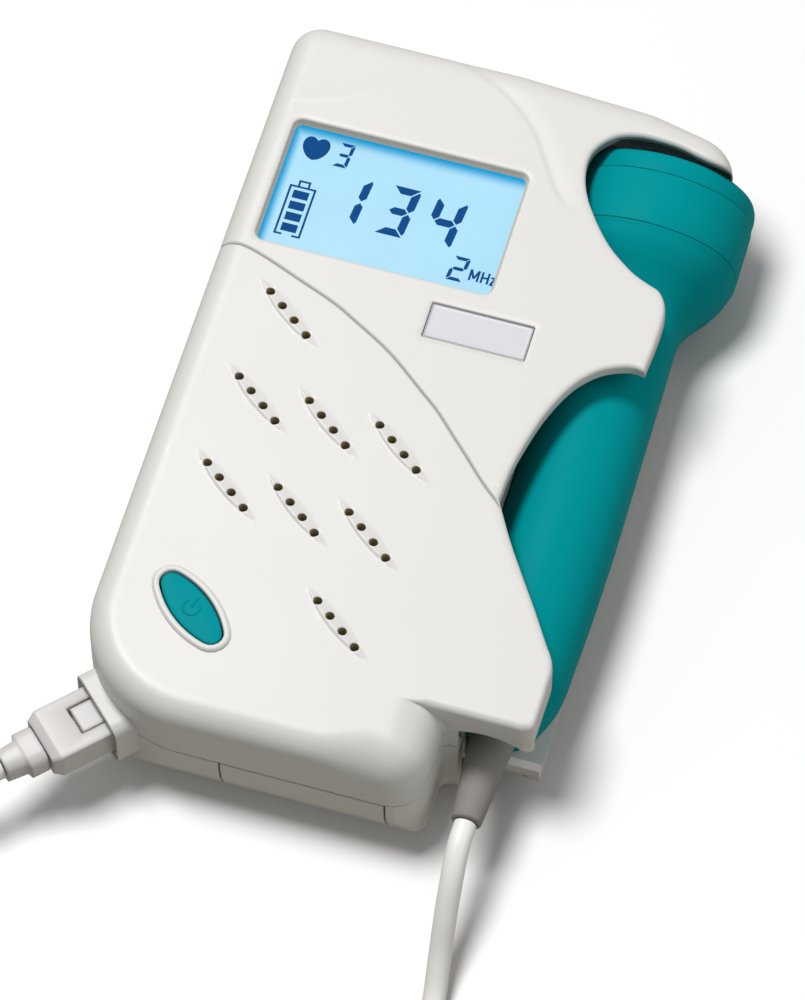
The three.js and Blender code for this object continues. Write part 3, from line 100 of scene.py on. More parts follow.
# The front face's edge: its radii, the step beside the notch, and where the edge turns from soft into crisp
EDGE_R = 4.6
CRISP_R = 1.3
NOTCH_R = 8
STEP_START = 28.4
STEP_END = 37.4
STEP_Y = NOTCH_Y - 0.02
STEP_SHARE = 0.8
STEP_RISES = (-0.05, 0, 0.1, 0.25, 0.45, 0.7, 1, 1.3, 1.7)
CRISP_INSETS = (0.2, 0.5, 1.05, 1.3)
SOFT_INSETS = (5.4, 6.3, 7.2, 8)
BODY_X = NOTCH_X + 0.2
CRISP_X = (26, 35)
CRISP_NOTCH_Y = (-84, -78)
CRISP_SIDE_Y = (-72, -60)
NOTCH_SOFT_X = (16, 28)
WING_SIDE_X = 48
WING_TOP_Y = -62
LOBE_X = 44
LOBE_TOP_Y = 5

# Probe: its axis runs along Y and a narrow seam lies at each end of its head; the radii of its bell and
# its handle are shares, and so are the places of the edge that is cut round it
PROBE_X = 43.5
PROBE_Z = 18.66
HEAD_R = 16.6
HANDLE_R = 10.1
TAIL_R = 6.2
HANDLE_FULLER = 0.35
HANDLE_MOST_R = 10.25
FACE_Y = 24.7
CAP_Y = 20.4
BELL_Y = 9.4
SEAM_LOW = 0.07
SEAM_HIGH = 0.05
NECK_Y = -4.4
TAIL_Y = -87.6
PROBE_GAP = 0.6
ROOM_OPEN_Y = (TAIL_Y + 12, TAIL_Y + 1)
RELIEF_X = 38.8
ARCH_REACH = 7.4
BELL = [(0, 0), (0.16, 0.04), (0.32, 0.17), (0.5, 0.41), (0.66, 0.66), (0.82, 0.86), (1, 1)]
TAPER = [(0, 1), (0.28, 0.99), (0.56, 1.02), (0.78, 0.93), (0.9, 0.78), (1, 0)]
BAY_EDGE = [
    (0.86, 0.2), (0.74, 0.1), (0.62, 0.05), (0.48, 0.04), (0.32, 0.07), (0.13, 0.12), (-0.11, 0.145),
    (-0.34, 0.14), (-0.55, 0.075), (-0.69, -0.05), (-0.77, -0.2), (-0.785, -0.38), (-0.745, -0.58),
    (-0.665, -0.77), (-0.57, -0.925), (-0.43, -1.12), (-0.28, -1.29), (-0.1, -1.44), (0.07, -1.555),
    (0.24, -1.63), (0.36, -1.68), (0.44, -1.78), (0.49, -1.91), (0.51, -2.07), (0.5, -2.4),
    (0.476, -2.69), (0.364, -2.669), (0.183, -2.72), (0.013, -2.816), (-0.163, -3.003), (-0.273, -3.196),
    (-0.388, -3.488), (-0.479, -3.849), (-0.545, -4.223), (-0.566, -4.59), (-0.33, -5.01),
    (-0.1, -5.37), (0.13, -5.72), (0.355, -6.08), (0.44, -6.21), (0.495, -6.35),
    (0.505, -6.52), (0.5, -7.1),
]
BAY_KINKS = (25, 34)
LIP_DEEP = 2.3
LIP_REACH = 2.4
LIP_BLEND = 1.2
LIP_LOW_Y = (-78, -70)

# Display
WINDOW_R = 1.3
WINDOW_DEEP = 1.4
WINDOW_FLARE = 0.4
WINDOW_ROUND = 0.5
INK_SHIFT = (-0.49, 1.66)

# Name plate, button, grille, groove and creases
PLATE = (21.4, -20.2, 18.4, 7)
PLATE_TOP_Z = 34.75
PLATE_LINE_Z = PLATE_TOP_Z - 0.03
PLATE_R = 0.3
SEAT_GAP = 0.15
SEAT_DEEP = 0.9
SEAT_ROUND = 0.2
BUTTON = (-10.3, -86.7, 15.9, 6.4)
BUTTON_TURN = -39.7
BUTTON_TIP = 1.9
BUTTON_GAP = 0.35
BUTTON_FOOT = 3
BUTTON_DOME = 2.6
BUTTON_TOP_Z = FRONT_Z + 0.45
RIM_W = 1.2
RIM_RISE = 0.6
RIM_PEAK = 0.42
GRILLE = (-15.9, -40.6)
COLUMN_STEP = (13.1, -1.3)
ROW_STEP = (-0.2, -18.05)
HOLE_STEP = (2.84, -2.28)
HOLE_R = 0.8
HOLE_SIDES = 18
HOLE_SINK = 0.1
HOLE_DEEP = 2.8
HOLES_IN_LEAF = 4
LEAF_TURN = math.atan2(HOLE_STEP[1], HOLE_STEP[0])
LEAF_LONG = 18.4
LEAF_WIDE = 3.0
LEAF_STEP = 0.55
LEAF_SWELL = 1.3
LEAVES = [(0, -1), (0, 0), (1, 0), (2, 0), (0, 1), (1, 1), (2, 1), (2, 2)]
GROOVE = [
    (-27.7, -14.4), (-22.8, -14.7), (-19, -15.8), (-11.4, -18.8), (-3.8, -21.9), (0, -24),
    (7.6, -28.5), (15.2, -34.5), (19, -37.6), (22.8, -41.4), (26.6, -45.2), (30.4, -49.1), (34.4, -52.6),
]
RIDGE = [
    (-25.5, 15.8), (-22.1, 16.8), (-15.1, 19.3), (-11.9, 21.1), (-8.3, 23.6), (-5.4, 26.5), (-2.9, 29.5),
    (-1.4, 31.8),
]
CREASE = [
    (0, 33.6), (3.3, 32.8), (7.5, 31), (11.9, 28.6), (15.8, 25.7), (19.3, 22.2), (21.9, 18.3), (25.8, 12.1),
    (28, 9.4), (30.1, 7.5),
]
RIDGE_SHARE = 0.4
CREASE_STEEP = 0.65
CREASE_FLAT = 4
CREASE_FADE = 5

# Mesh of the front shell: distances between its points, its least thickness and its materials' places
OUTLINE_STEP = 1.2
LINE_STEP = 0.7
FINE_STEP = 0.6
ROUND_STEPS = 8
LEAF_STEPS = 33
GRID_SIZE = (92, 150)
ROW_HIGH = 0.866
LEAST_WALL = 0.9
TONGUE_INSET = 0.9
TONGUE_DEEP = 0.8
FAR_X = 90
# Material places of the front shell: all but the housing's are painted, with shade in the holes, round the
# probe's head and in the groove, and light on the window's walls
HOUSING, HOLE_SHADE, RECESS_PAINTED_LIGHT, PAINTED_SHADE, GROOVE_PAINTED_SHADE = range(5)

# Cord: its thickness, the places that it passes, and its coil
CORD_R = 2
RELIEF_END_Y = -104.9
FROM_PROBE_VIA = [
    (43.8, -114, 16.6), (44.2, -119.5, 12.2), (44.8, -125.2, 6.8), (45.6, -131.5, 2.9), (46.3, -139, 2),
    (46, -150, 2), (43.6, -163, 2), (38.4, -177, 2), (30.2, -190.5, 2), (19.5, -202.4, 2), (8.4, -210.8, 2.4),
]
TO_PLUG_VIA = [
    (-42.6, -125.2, 17.9), (-46, -129.3, 13.6), (-49.6, -134.4, 8.2), (-52.8, -140.8, 3.6), (-54.8, -149, 2),
    (-54.4, -160, 2), (-52.2, -172, 3.4), (-50, -181.5, 6.4),
]
COIL = {
    "x": -18, "y": -193, "z": 3.1, "r": 31, "pitch": 4.5, "layer": 4.5, "turns": 4, "from": 180, "to": 300,
}
BOSS = (-22.2, -104, 19.9)
BOSS_TURN = 226
BOOT_END = 18.5
CORD_GAP = 0.3

# Stage: the camera's target and roll, and each lamp's name, place, size, power and what it does to the floor
TARGET = (18.19, -56.34, 35)
ROLL = math.radians(-0.107)
LAMPS = [
    ("key", (-0.4, 0.3, 1.1), 0.34, 11.7, "EXCLUDE"),
    ("fill", (0.85, 0, 0.8), 0.9, 3.2, "EXCLUDE"),
    ("floor_lamp", (-0.24, -0.16, 1.25), 0.4, 13, "INCLUDE"),
]
WORLD_LIGHT = 0.27
FLOOR_HALF = 3


def at(x, y, z):
    return Vector((ORIGIN.x + x * MM, ORIGIN.y + y * MM, z * MM))


# Settings that a user would change
def length(name, about, value):
    return FloatProperty(name=name, description=about, default=value * MM, min=0, unit="LENGTH", precision=4)


def colour(name, about, value):
    return FloatVectorProperty(
        name=name, description=about, default=value, size=3, min=0, max=1, subtype="COLOR")


def angle(name, about, degrees):
    return FloatProperty(name=name, description=about, default=math.radians(degrees), subtype="ANGLE")


def linear(r, g, b):
    return tuple(((c / 255 + 0.055) / 1.055) ** 2.4 if c > 10 else c / 255 / 12.92 for c in (r, g, b))


class HousingSettings(bpy.types.PropertyGroup):
    lip: length("Bay lip", "Round of the edge that is cut round the probe", 0.8)
    leaf_rise: length("Leaf rise", "Height of the raised leaves that hold the grille's holes", 0.45)
    groove_deep: length("Groove depth", "Depth of the groove across the front", 0.45)
    groove_wide: length("Groove width", "Width of the groove across the front", 0.75)
    crease: length("Crease height", "Depth of the two fine creases near the display", 0.2)
    spacing: length("Mesh spacing", "Distance between the points of the front face", 1.25)
    shell: colour("Housing", "Colour of the housing", linear(211, 210, 206))
    button: colour("Button", "Colour of the power button", linear(0, 140, 148))


class ProbeSettings(bpy.types.PropertyGroup):
    swell: length("Swell", "How much rounder the head is than its packed solid", 0.2)
    lean: length("Lean", "How much further out the head's sides lie than its top, as it rests askew", 2.3)
    around: IntProperty(name="Sides", description="Facets round the probe", default=96, min=24, max=192)
    colour: colour("Probe", "Colour of the probe's mouldings", linear(0, 140, 145))
    relief: colour("Strain relief", "Colour of the strain relief", linear(138, 134, 131))


class DisplaySettings(bpy.types.PropertyGroup):
    light: colour("Back light", "Colour of the lit display", linear(176, 226, 250))
    edge: colour("Edge light", "Colour of the band along the upper and left edges", linear(0, 160, 216))
    ink: colour("Segments", "Colour of the dark segments", linear(0, 74, 140))
    slant: FloatProperty(name="Slant", description="Slant of the digits", default=0.085, min=0, max=0.5)


class CordSettings(bpy.types.PropertyGroup):
    radius: length("Radius", "Radius of the cord", CORD_R)
    jacket: colour("Jacket", "Colour of the cord", linear(238, 236, 233))


class StageSettings(bpy.types.PropertyGroup):
    floor: colour("Floor", "Colour of the floor in other surfaces", (0.36, 0.34, 0.29))
    azimuth: angle("Azimuth", "Camera's turn to the right", 16.362)
    elevation: angle("Elevation", "Camera's height", 60.473)
    distance: length("Distance", "Camera's distance from its target", 1023.1)
    lens: FloatProperty(name="Lens", description="Focal length in millimetres", default=214.66, min=10)


# Materials
def node_group(name, outputs, inputs=()):
    group = bpy.data.node_groups.new(name, "ShaderNodeTree")
    for label, kind, value in inputs:
        socket = group.interface.new_socket(name=label, in_out="INPUT", socket_type=kind)
        socket.default_value = value
    for label, kind in outputs:
        group.interface.new_socket(name=label, in_out="OUTPUT", socket_type=kind)
    return group, group.nodes.new("NodeGroupInput"), group.nodes.new("NodeGroupOutput")


def set_inputs(node, values):
    for key, value in values.items():
        node.inputs[key].default_value = value


def add_node(tree, kind, values=None, **settings):
    """A shader node with its settings and the values of its unlinked inputs."""
    node = tree.nodes.new(kind)
    for key, value in settings.items():
        setattr(node, key, value)
    set_inputs(node, values or {})
    return node


def wire(tree, *links):
    """Links between sockets: from a node's output to a node's input."""
    for source, output, target, given in links:
        tree.links.new(source.outputs[output], target.inputs[given])


def new_material(name):
    made = bpy.data.materials.new(name)
    made.use_nodes = True
    return made, made.node_tree, made.node_tree.nodes["Principled BSDF"]


def moulding_group():
    """Fine grain and slow waviness of a moulded surface: a roughness and a normal."""
    name = "Moulded Surface"
    if name in bpy.data.node_groups:
        return bpy.data.node_groups[name]
    group, given, put = node_group(
        name,
        [("Roughness", "NodeSocketFloat"), ("Normal", "NodeSocketVector")],
        [
            ("Roughness", "NodeSocketFloat", 0.4), ("Grain Scale", "NodeSocketFloat", 2600.0),
            ("Grain", "NodeSocketFloat", 0.06), ("Round", "NodeSocketFloat", 0.0002),
        ],
    )
    where = add_node(group, "ShaderNodeTexCoord")
    grain = add_node(group, "ShaderNodeTexNoise", {"Detail": 2})
    slow = add_node(group, "ShaderNodeTexNoise", {"Scale": 38, "Detail": 3})
    spread = add_node(group, "ShaderNodeMapRange", {"To Min": -0.05, "To Max": 0.05})
    rough = add_node(group, "ShaderNodeMath", operation="ADD")
    edge = add_node(group, "ShaderNodeBevel", samples=6)
    bump = add_node(group, "ShaderNodeBump", {"Distance": 0.00004})
    wire(
        group,
        (where, "Object", grain, "Vector"), (given, "Grain Scale", grain, "Scale"),
        (where, "Object", slow, "Vector"), (slow, "Fac", spread, "Value"),
        (given, "Roughness", rough, 0), (spread, "Result", rough, 1), (rough, "Value", put, "Roughness"),
        (given, "Round", edge, "Radius"), (given, "Grain", bump, "Strength"), (grain, "Fac", bump, "Height"),
        (edge, "Normal", bump, "Normal"), (bump, "Normal", put, "Normal"),
    )
    return group


def material(
    name, rgb, rough=0.4, metal=0.0, grain=0.06, edge_round=0.2, scale=2600.0, coat=0.0, specular=0.5,
):
    """A moulded or plated surface whose roughness wavers a little and whose edges catch the light."""
    if name in bpy.data.materials:
        return bpy.data.materials[name]
    made, tree, surface = new_material(name)
    set_inputs(surface, {
        "Base Color": (*rgb, 1), "Metallic": metal, "Coat Weight": coat, "Specular IOR Level": specular,
    })
    values = {"Roughness": rough, "Grain": grain, "Grain Scale": scale, "Round": edge_round * MM}
    moulded = add_node(tree, "ShaderNodeGroup", values, node_tree=moulding_group())
    wire(tree, (moulded, "Roughness", surface, "Roughness"), (moulded, "Normal", surface, "Normal"))
    return made


def shell_material():
    settings = bpy.context.scene.monitor_housing
    return material("Housing Plastic", settings.shell, rough=0.42, grain=0.08, edge_round=0.3)


# Brownish grey for the walls of the grille's holes: painted shade, as these walls are of the white housing
# plastic
def hole_shade_material():
    return material("Hole Wall Painted Shade", linear(168, 156, 124), rough=0.8, grain=0.02, edge_round=0.02)


def probe_material():
    settings = bpy.context.scene.monitor_probe
    return material("Probe Plastic", settings.colour, rough=0.5, grain=0.05, edge_round=0.25, specular=0.02)


def plug_material():
    return material("Plug Plastic", linear(201, 198, 196), rough=0.42, grain=0.03, edge_round=0.8)


# Meshes
def finish_mesh(name, bm, body, slot, *materials, smooth=32, replaced=()):
    """An object of a bmesh, smooth up to an angle, hung on its body, its nodes hidden; its slot is not used.
    """
    mesh = bpy.data.meshes.new(name)
    bm.to_mesh(mesh)
    bm.free()
    mesh.shade_smooth()
    mesh.set_sharp_from_angle(angle=math.radians(smooth))
    for made in materials:
        mesh.materials.append(made)
    obj = bpy.data.objects.new(name, mesh)
    bpy.context.collection.objects.link(obj)
    if body:
        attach(obj, body)
    if replaced:
        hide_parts(*replaced)
    return obj


def copy_solid(node, body, slot, made, smooth=32):
    """A smooth-shaded stand-in for a node whose form is right."""
    bm = bmesh.new()
    bm.from_mesh(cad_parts[node].data)
    bmesh.ops.remove_doubles(bm, verts=bm.verts, dist=1e-6)
    bmesh.ops.recalc_face_normals(bm, faces=bm.faces)
    for face in bm.faces:
        face.material_index = 0
    bmesh.ops.dissolve_limit(
        bm, angle_limit=math.radians(0.3), verts=bm.verts[:], edges=bm.edges[:], delimit={"NORMAL"})
    obj = finish_mesh(node + "_moulding", bm, body, slot, made, smooth=smooth, replaced=(node,))
    weighted = obj.modifiers.new("weighted_normals", "WEIGHTED_NORMAL")
    weighted.keep_sharp = True
    return obj


def paint(node, made):
    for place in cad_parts[node].material_slots:
        place.material = made


def skin(bm, loops):
    """Quads between closed loops of the same count, with a cap on both ends; gives the quads of each row."""
    rows = []
    for a, b in zip(loops, loops[1:]):
        count = len(a)
        rows.append([bm.faces.new((a[i], a[i + 1 - count], b[i + 1 - count], b[i])) for i in range(count)])
    bm.faces.new(loops[-1])
    bm.faces.new(list(reversed(loops[0])))
    return rows


# Shares
def between(value, start, end):
    """How far a value has come on its way from a start to an end: 0 to 1."""
    return np.clip((value - start) / (end - start), 0, 1)


def eased(t):
    """A share that starts and ends gently."""
    t = np.clip(t, 0, 1)
    return t * t * (3 - 2 * t)


# Lines and outlines
def inside(polygon, points):
    """Which points lie inside a closed outline."""
    x, y = points[:, 0], points[:, 1]
    found = np.zeros(len(points), bool)
    for (x0, y0), (x1, y1) in zip(polygon, np.roll(polygon, -1, axis=0)):
        if y0 == y1:
            continue
        across = ((y0 > y) != (y1 > y)) & (x < (x1 - x0) * (y - y0) / (y1 - y0) + x0)
        found ^= across
    return found


def distance_to(line, points, closed=False):
    """Distance of each point from a line of points."""
    line = np.asarray(line, float)
    ends = np.roll(line, -1, axis=0) if closed else line[1:]
    starts = line if closed else line[:-1]
    least = np.full(len(points), np.inf)
    for a, b in zip(starts, ends):
        d = b - a
        long = d @ d
        if long < 1e-12:
            continue
        t = np.clip(((points - a) @ d) / long, 0, 1)
        least = np.minimum(least, np.hypot(*(points - a - t[:, None] * d).T))
    return least


def filleted(corners):
    """An anticlockwise outline with a round of the given radius at each corner."""
    points = []
    for i, (x, y, wanted, steps) in enumerate(corners):
        here = Vector((x, y))
        back = Vector(corners[i - 1][:2]) - here
        on = Vector(corners[(i + 1) % len(corners)][:2]) - here
        room = 0.48 * min(back.length, on.length)
        back.normalize()
        on.normalize()
        half = math.acos(max(-1, min(1, back.dot(on)))) / 2
        reach = min(wanted / math.tan(half), room)
        r = reach * math.tan(half)
        start, end = here + back * reach, here + on * reach
        middle = here + (back + on).normalized() * (r / math.sin(half))
        a0 = math.atan2(start.y - middle.y, start.x - middle.x)
        sweep = math.atan2(end.y - middle.y, end.x - middle.x) - a0
        sweep = (sweep + math.pi) % (2 * math.pi) - math.pi
        for k in range(steps + 1):
            a = a0 + sweep * k / steps
            points.append((middle.x + r * math.cos(a), middle.y + r * math.sin(a)))
    return np.array(points)


def outline_at(distance):
    """The housing's outline, moved inwards."""
    count = len(CORNERS)
    sides = []
    for i, (x, y, _, _) in enumerate(CORNERS):
        nx, ny = CORNERS[(i + 1) % count][:2]
        way = Vector((nx - x, ny - y)).normalized()
        sides.append((way, Vector((x - way.y * distance, y + way.x * distance))))
    moved = []
    for i, (_, _, r, steps) in enumerate(CORNERS):
        (before, start), (after, point) = sides[i - 1], sides[i]
        turn = before.x * after.y - before.y * after.x
        gap = point - start
        along = (gap.x * after.y - gap.y * after.x) / turn
        corner = start + before * along
        moved.append((corner.x, corner.y, max(r - math.copysign(distance, turn), 0.4), steps))
    return filleted(moved)


def catmull(points, each):
    """Points along a smooth curve through the given ones, whose bends don't overshoot between them."""
    p = [np.array(q, float) for q in points]
    p = [2 * p[0] - p[1], *p, 2 * p[-1] - p[-2]]
    line = []
    for i in range(1, len(p) - 2):
        x0, x1, x2, x3 = p[i - 1:i + 3]
        t0, t1, t2 = (max(np.linalg.norm(b - a), 1e-8) ** 0.5 for a, b in ((x0, x1), (x1, x2), (x2, x3)))
        m1 = ((x1 - x0) / t0 - (x2 - x0) / (t0 + t1) + (x2 - x1) / t1) * t1
        m2 = ((x2 - x1) / t1 - (x3 - x1) / (t1 + t2) + (x3 - x2) / t2) * t1
        for k in range(each):
            s = k / each
            line.append(
                (2 * s**3 - 3 * s**2 + 1) * x1 + (s**3 - 2 * s**2 + s) * m1
                + (3 * s**2 - 2 * s**3) * x2 + (s**3 - s**2) * m2)
    line.append(p[-2])
    return np.array(line)


def evenly(line, step):
    """The same line with points about a step apart, its ends kept."""
    line = np.asarray(line, float)
    gone = np.concatenate([[0], np.cumsum(np.linalg.norm(np.diff(line, axis=0), axis=1))])
    count = max(2, int(round(gone[-1] / step)) + 1)
    places = np.linspace(0, gone[-1], count)
    return np.stack([np.interp(places, gone, line[:, k]) for k in range(line.shape[1])], axis=1)


def even_ring(inset, step):
    """The housing's outline, moved inwards, with points about a step apart."""
    ring = outline_at(inset)
    return evenly(np.vstack([ring, ring[:1]]), step)[:-1]


def offset_line(line, distance):
    """A line moved sideways to its left."""
    way = np.gradient(line, axis=0)
    way /= np.linalg.norm(way, axis=1)[:, None]
    return line + distance * np.stack([-way[:, 1], way[:, 0]], axis=1)


def rounded_rectangle(x, y, wide, high, r, steps=6):
    points = []
    for sx, sy, start in ((1, 1, 0), (-1, 1, 90), (-1, -1, 180), (1, -1, 270)):
        for i in range(steps + 1):
            a = math.radians(start + 90 * i / steps)
            cx, cy = x + sx * (wide / 2 - r), y + sy * (high / 2 - r)
            points.append((cx + r * math.cos(a), cy + r * math.sin(a)))
    return np.array(points)


def window_outline(grow):
    x, y, wide, high = WINDOW
    return rounded_rectangle(x, y, wide + 2 * grow, high + 2 * grow, WINDOW_R + grow)


def circle(x, y, r, sides):
    turns = [2 * math.pi * i / sides for i in range(sides)]
    return [(x + r * math.cos(a), y + r * math.sin(a)) for a in turns]


def leaf(x, y, long, wide, turn, tip, grow=0.0, steps=20, tip_steps=6):
    """A leaf of two arcs with round tips, grown by a distance."""
    flat_long, flat_wide = long - 2 * tip, wide - 2 * tip
    r = flat_long**2 / (4 * flat_wide) + flat_wide / 4
    half = math.asin(flat_long / 2 / r)
    out = tip + grow
    a_turn = math.radians(turn)
    points = []
    for side in (1, -1):
        for i in range(steps + 1):
            a = half - 2 * half * i / steps
            far = r + out
            points.append((side * far * math.sin(a), side * (far * math.cos(a) - r + flat_wide / 2)))
        for i in range(1, tip_steps):
            a = math.pi / 2 - half - (math.pi - 2 * half) * i / tip_steps
            points.append((side * (-flat_long / 2 - out * math.cos(a)), side * out * math.sin(a)))
    c, s = math.cos(a_turn), math.sin(a_turn)
    return np.array([(x + c * px - s * py, y + s * px + c * py) for px, py in points])


# Probe room and shell heights
def handle_profile():
    """Places along the axis and radii from the handle's tail to its neck."""
    return [(NECK_Y + (TAIL_Y - NECK_Y) * s, TAIL_R + (HANDLE_R - TAIL_R) * t) for s, t in reversed(TAPER)]


def bell_profile(head_r):
    """The same from the neck to the head."""
    return [(NECK_Y + (BELL_Y - NECK_Y) * s, HANDLE_R + (head_r - HANDLE_R) * t) for s, t in BELL]


def room_top(points):
    """Height of the probe's room over each point of the plan."""
    places, radii = zip(*handle_profile(), *bell_profile(HEAD_R)[1:])
    r = np.interp(points[:, 1], places, radii)
    r += PROBE_GAP + (HANDLE_R - r) * eased(between(points[:, 1], *ROOM_OPEN_Y))
    dx = np.minimum(points[:, 0] - PROBE_X, 0)
    top = PROBE_Z + np.sqrt(np.maximum(r**2 - dx**2, 0))
    return np.where(np.abs(dx) < r, np.maximum(top, SEAM_Z), SEAM_Z)


def bay_line():
    """The edge that is cut round the probe, with its kinks kept."""
    points = [(PROBE_X + sx * HEAD_R, FACE_Y + sy * HEAD_R) for sx, sy in BAY_EDGE]
    cuts = [0, *BAY_KINKS, len(points) - 1]
    parts = [catmull(points[a:b + 1], 6) for a, b in zip(cuts, cuts[1:])]
    return evenly(np.concatenate([parts[0], *(part[1:] for part in parts[1:])]), LINE_STEP)


def drop_of(distance, r):
    """How far a rounded edge of radius r lies below its face, at a distance from the edge."""
    inner = np.clip(r - distance, 0, r)
    return r - np.sqrt(np.maximum(r**2 - inner**2, 0))


def edge_radius(points):
    """Radius of the front edge: soft all round, softest beside the notch, crisp at the wing's end."""
    x, y = points[:, 0], points[:, 1]
    on_body = x < BODY_X
    side = np.where(x > WING_SIDE_X, between(y, *CRISP_SIDE_Y), 0)
    share = np.where(on_body, 1 - between(x, *CRISP_X), side)
    share = np.where(y < WING_TOP_Y, share, np.where((x > LOBE_X) & (y < LOBE_TOP_Y), 0, 1))
    share = np.where(on_body, np.maximum(share, between(y, *CRISP_NOTCH_Y)), share)
    soft = EDGE_R + (NOTCH_R - EDGE_R) * eased(between(x, *NOTCH_SOFT_X))
    return np.where((y < STEP_Y) & (x < STEP_END), soft, CRISP_R + (EDGE_R - CRISP_R) * eased(share))


def step_round(points):
    """Drop of the wing's crisp edge along the step, which starts at nothing and grows with the step."""
    x, y = points[:, 0], points[:, 1]
    r = np.minimum(CRISP_R, STEP_SHARE * drop_of(NOTCH_X - np.clip(x, 0, NOTCH_X), NOTCH_R))
    away = np.where(x < STEP_END, np.maximum(y - NOTCH_Y, 0), CRISP_R)
    return np.where(y < STEP_Y, 0, drop_of(away, np.maximum(r, 1e-6)))


def leaf_places():
    """The middle of each leaf and the middles of its holes."""
    half = (HOLES_IN_LEAF - 1) / 2
    for i, j in LEAVES:
        x = GRILLE[0] + i * COLUMN_STEP[0] + j * ROW_STEP[0]
        y = GRILLE[1] + i * COLUMN_STEP[1] + j * ROW_STEP[1]
        holes = [(x + n * HOLE_STEP[0], y + n * HOLE_STEP[1]) for n in range(HOLES_IN_LEAF)]
        yield (x + half * HOLE_STEP[0], y + half * HOLE_STEP[1]), holes


def leaf_rise(points, rise):
    """Raised leaves: each swells slowly from its upper side and ends in a clear step on its lower side."""
    added = np.zeros(len(points))
    c, s = math.cos(LEAF_TURN), math.sin(LEAF_TURN)
    for (x, y), _ in leaf_places():
        dx, dy = points[:, 0] - x, points[:, 1] - y
        along, across = c * dx + s * dy, -s * dx + c * dy
        share = np.maximum(1 - (2 * along / LEAF_LONG) ** 2, 0)
        half = LEAF_WIDE / 2 * share
        up = np.clip((half - across) / np.maximum(2 * half, 1e-6), 0, 1)
        swell = np.sin(up * math.pi / 2) ** LEAF_SWELL * eased((across + half) / LEAF_STEP)
        added = np.maximum(added, rise * swell * np.sqrt(share))
    return added


def lip_share(points, bay):
    """Where the face round the probe is a thin lip: 1 at its edge, 0 further in and at the wing's end."""
    near = between(distance_to(bay, points), LIP_REACH + LIP_BLEND, LIP_REACH)
    return eased(near * between(points[:, 1], *LIP_LOW_Y))


def faded(line, points, half):
    """How near points lie to a line: 1 on it, 0 from half a width away, fading out at the line's ends."""
    ends = np.minimum(*(np.hypot(*(points - end).T) for end in (line[0], line[-1])))
    return eased(1 - distance_to(line, points) / half) * np.clip(ends / CREASE_FADE, 0, 1)


def front_heights(points, settings, outline, bay):
    """Height of the front face over each point of the plan."""
    z = np.full(len(points), float(FRONT_Z))
    z -= np.maximum(drop_of(distance_to(outline, points, True), edge_radius(points)), step_round(points))
    z -= drop_of(distance_to(bay, points), settings.lip / MM)
    z -= drop_of(distance_to(window_outline(WINDOW_FLARE), points, True), WINDOW_ROUND)
    z -= drop_of(distance_to(plate_seat(0), points, True), SEAT_ROUND)
    t = distance_to(button_well(0), points, True) / RIM_W
    z += RIM_RISE * np.sqrt(np.maximum(1 - ((t - RIM_PEAK) / (1 - RIM_PEAK)) ** 2, 0))
    z += leaf_rise(points, settings.leaf_rise / MM)
    groove = distance_to(groove_line(), points) / (settings.groove_wide / MM / 2)
    z -= settings.groove_deep / MM * np.maximum(1 - groove, 0)
    for line, share in ((CREASE, 1), (RIDGE, -RIDGE_SHARE)):
        line = catmull(line, 8)
        above = points[:, 1] > np.interp(points[:, 0], *line.T)
        step = faded(line, points, CREASE_FLAT) - faded(line, points, CREASE_STEEP)
        z -= share * settings.crease / MM * np.where(above, step, 0)
    return z


def plate_seat(grow):
    x, y, wide, high = PLATE
    grown = 2 * (SEAT_GAP + grow)
    return rounded_rectangle(x, y, wide + grown, high + grown, PLATE_R + grow, 3)


def button_well(grow):
    return leaf(*BUTTON, BUTTON_TURN, BUTTON_TIP, BUTTON_GAP + grow)


def groove_line():
    return catmull(GROOVE, 30)


def leaf_points(x, y, holes):
    """Points across a leaf, close together at its clear side, and none in its holes."""
    c, s = math.cos(LEAF_TURN), math.sin(LEAF_TURN)
    for i in range(LEAF_STEPS):
        along = LEAF_LONG / 2 * (-1 + 2 * (i + 0.5) / LEAF_STEPS)
        half = LEAF_WIDE / 2 * (1 - (2 * along / LEAF_LONG) ** 2)
        clear_side = [d - half for d in (-0.12, 0, 0.18, 0.37, LEAF_STEP)]
        for across in (*clear_side, -0.5 * half, 0, 0.5 * half, half, half + 0.3):
            px, py = x + c * along - s * across, y + s * along + c * across
            if all(math.hypot(px - hx, py - hy) > 1.25 * HOLE_R for hx, hy in holes):
                yield px, py


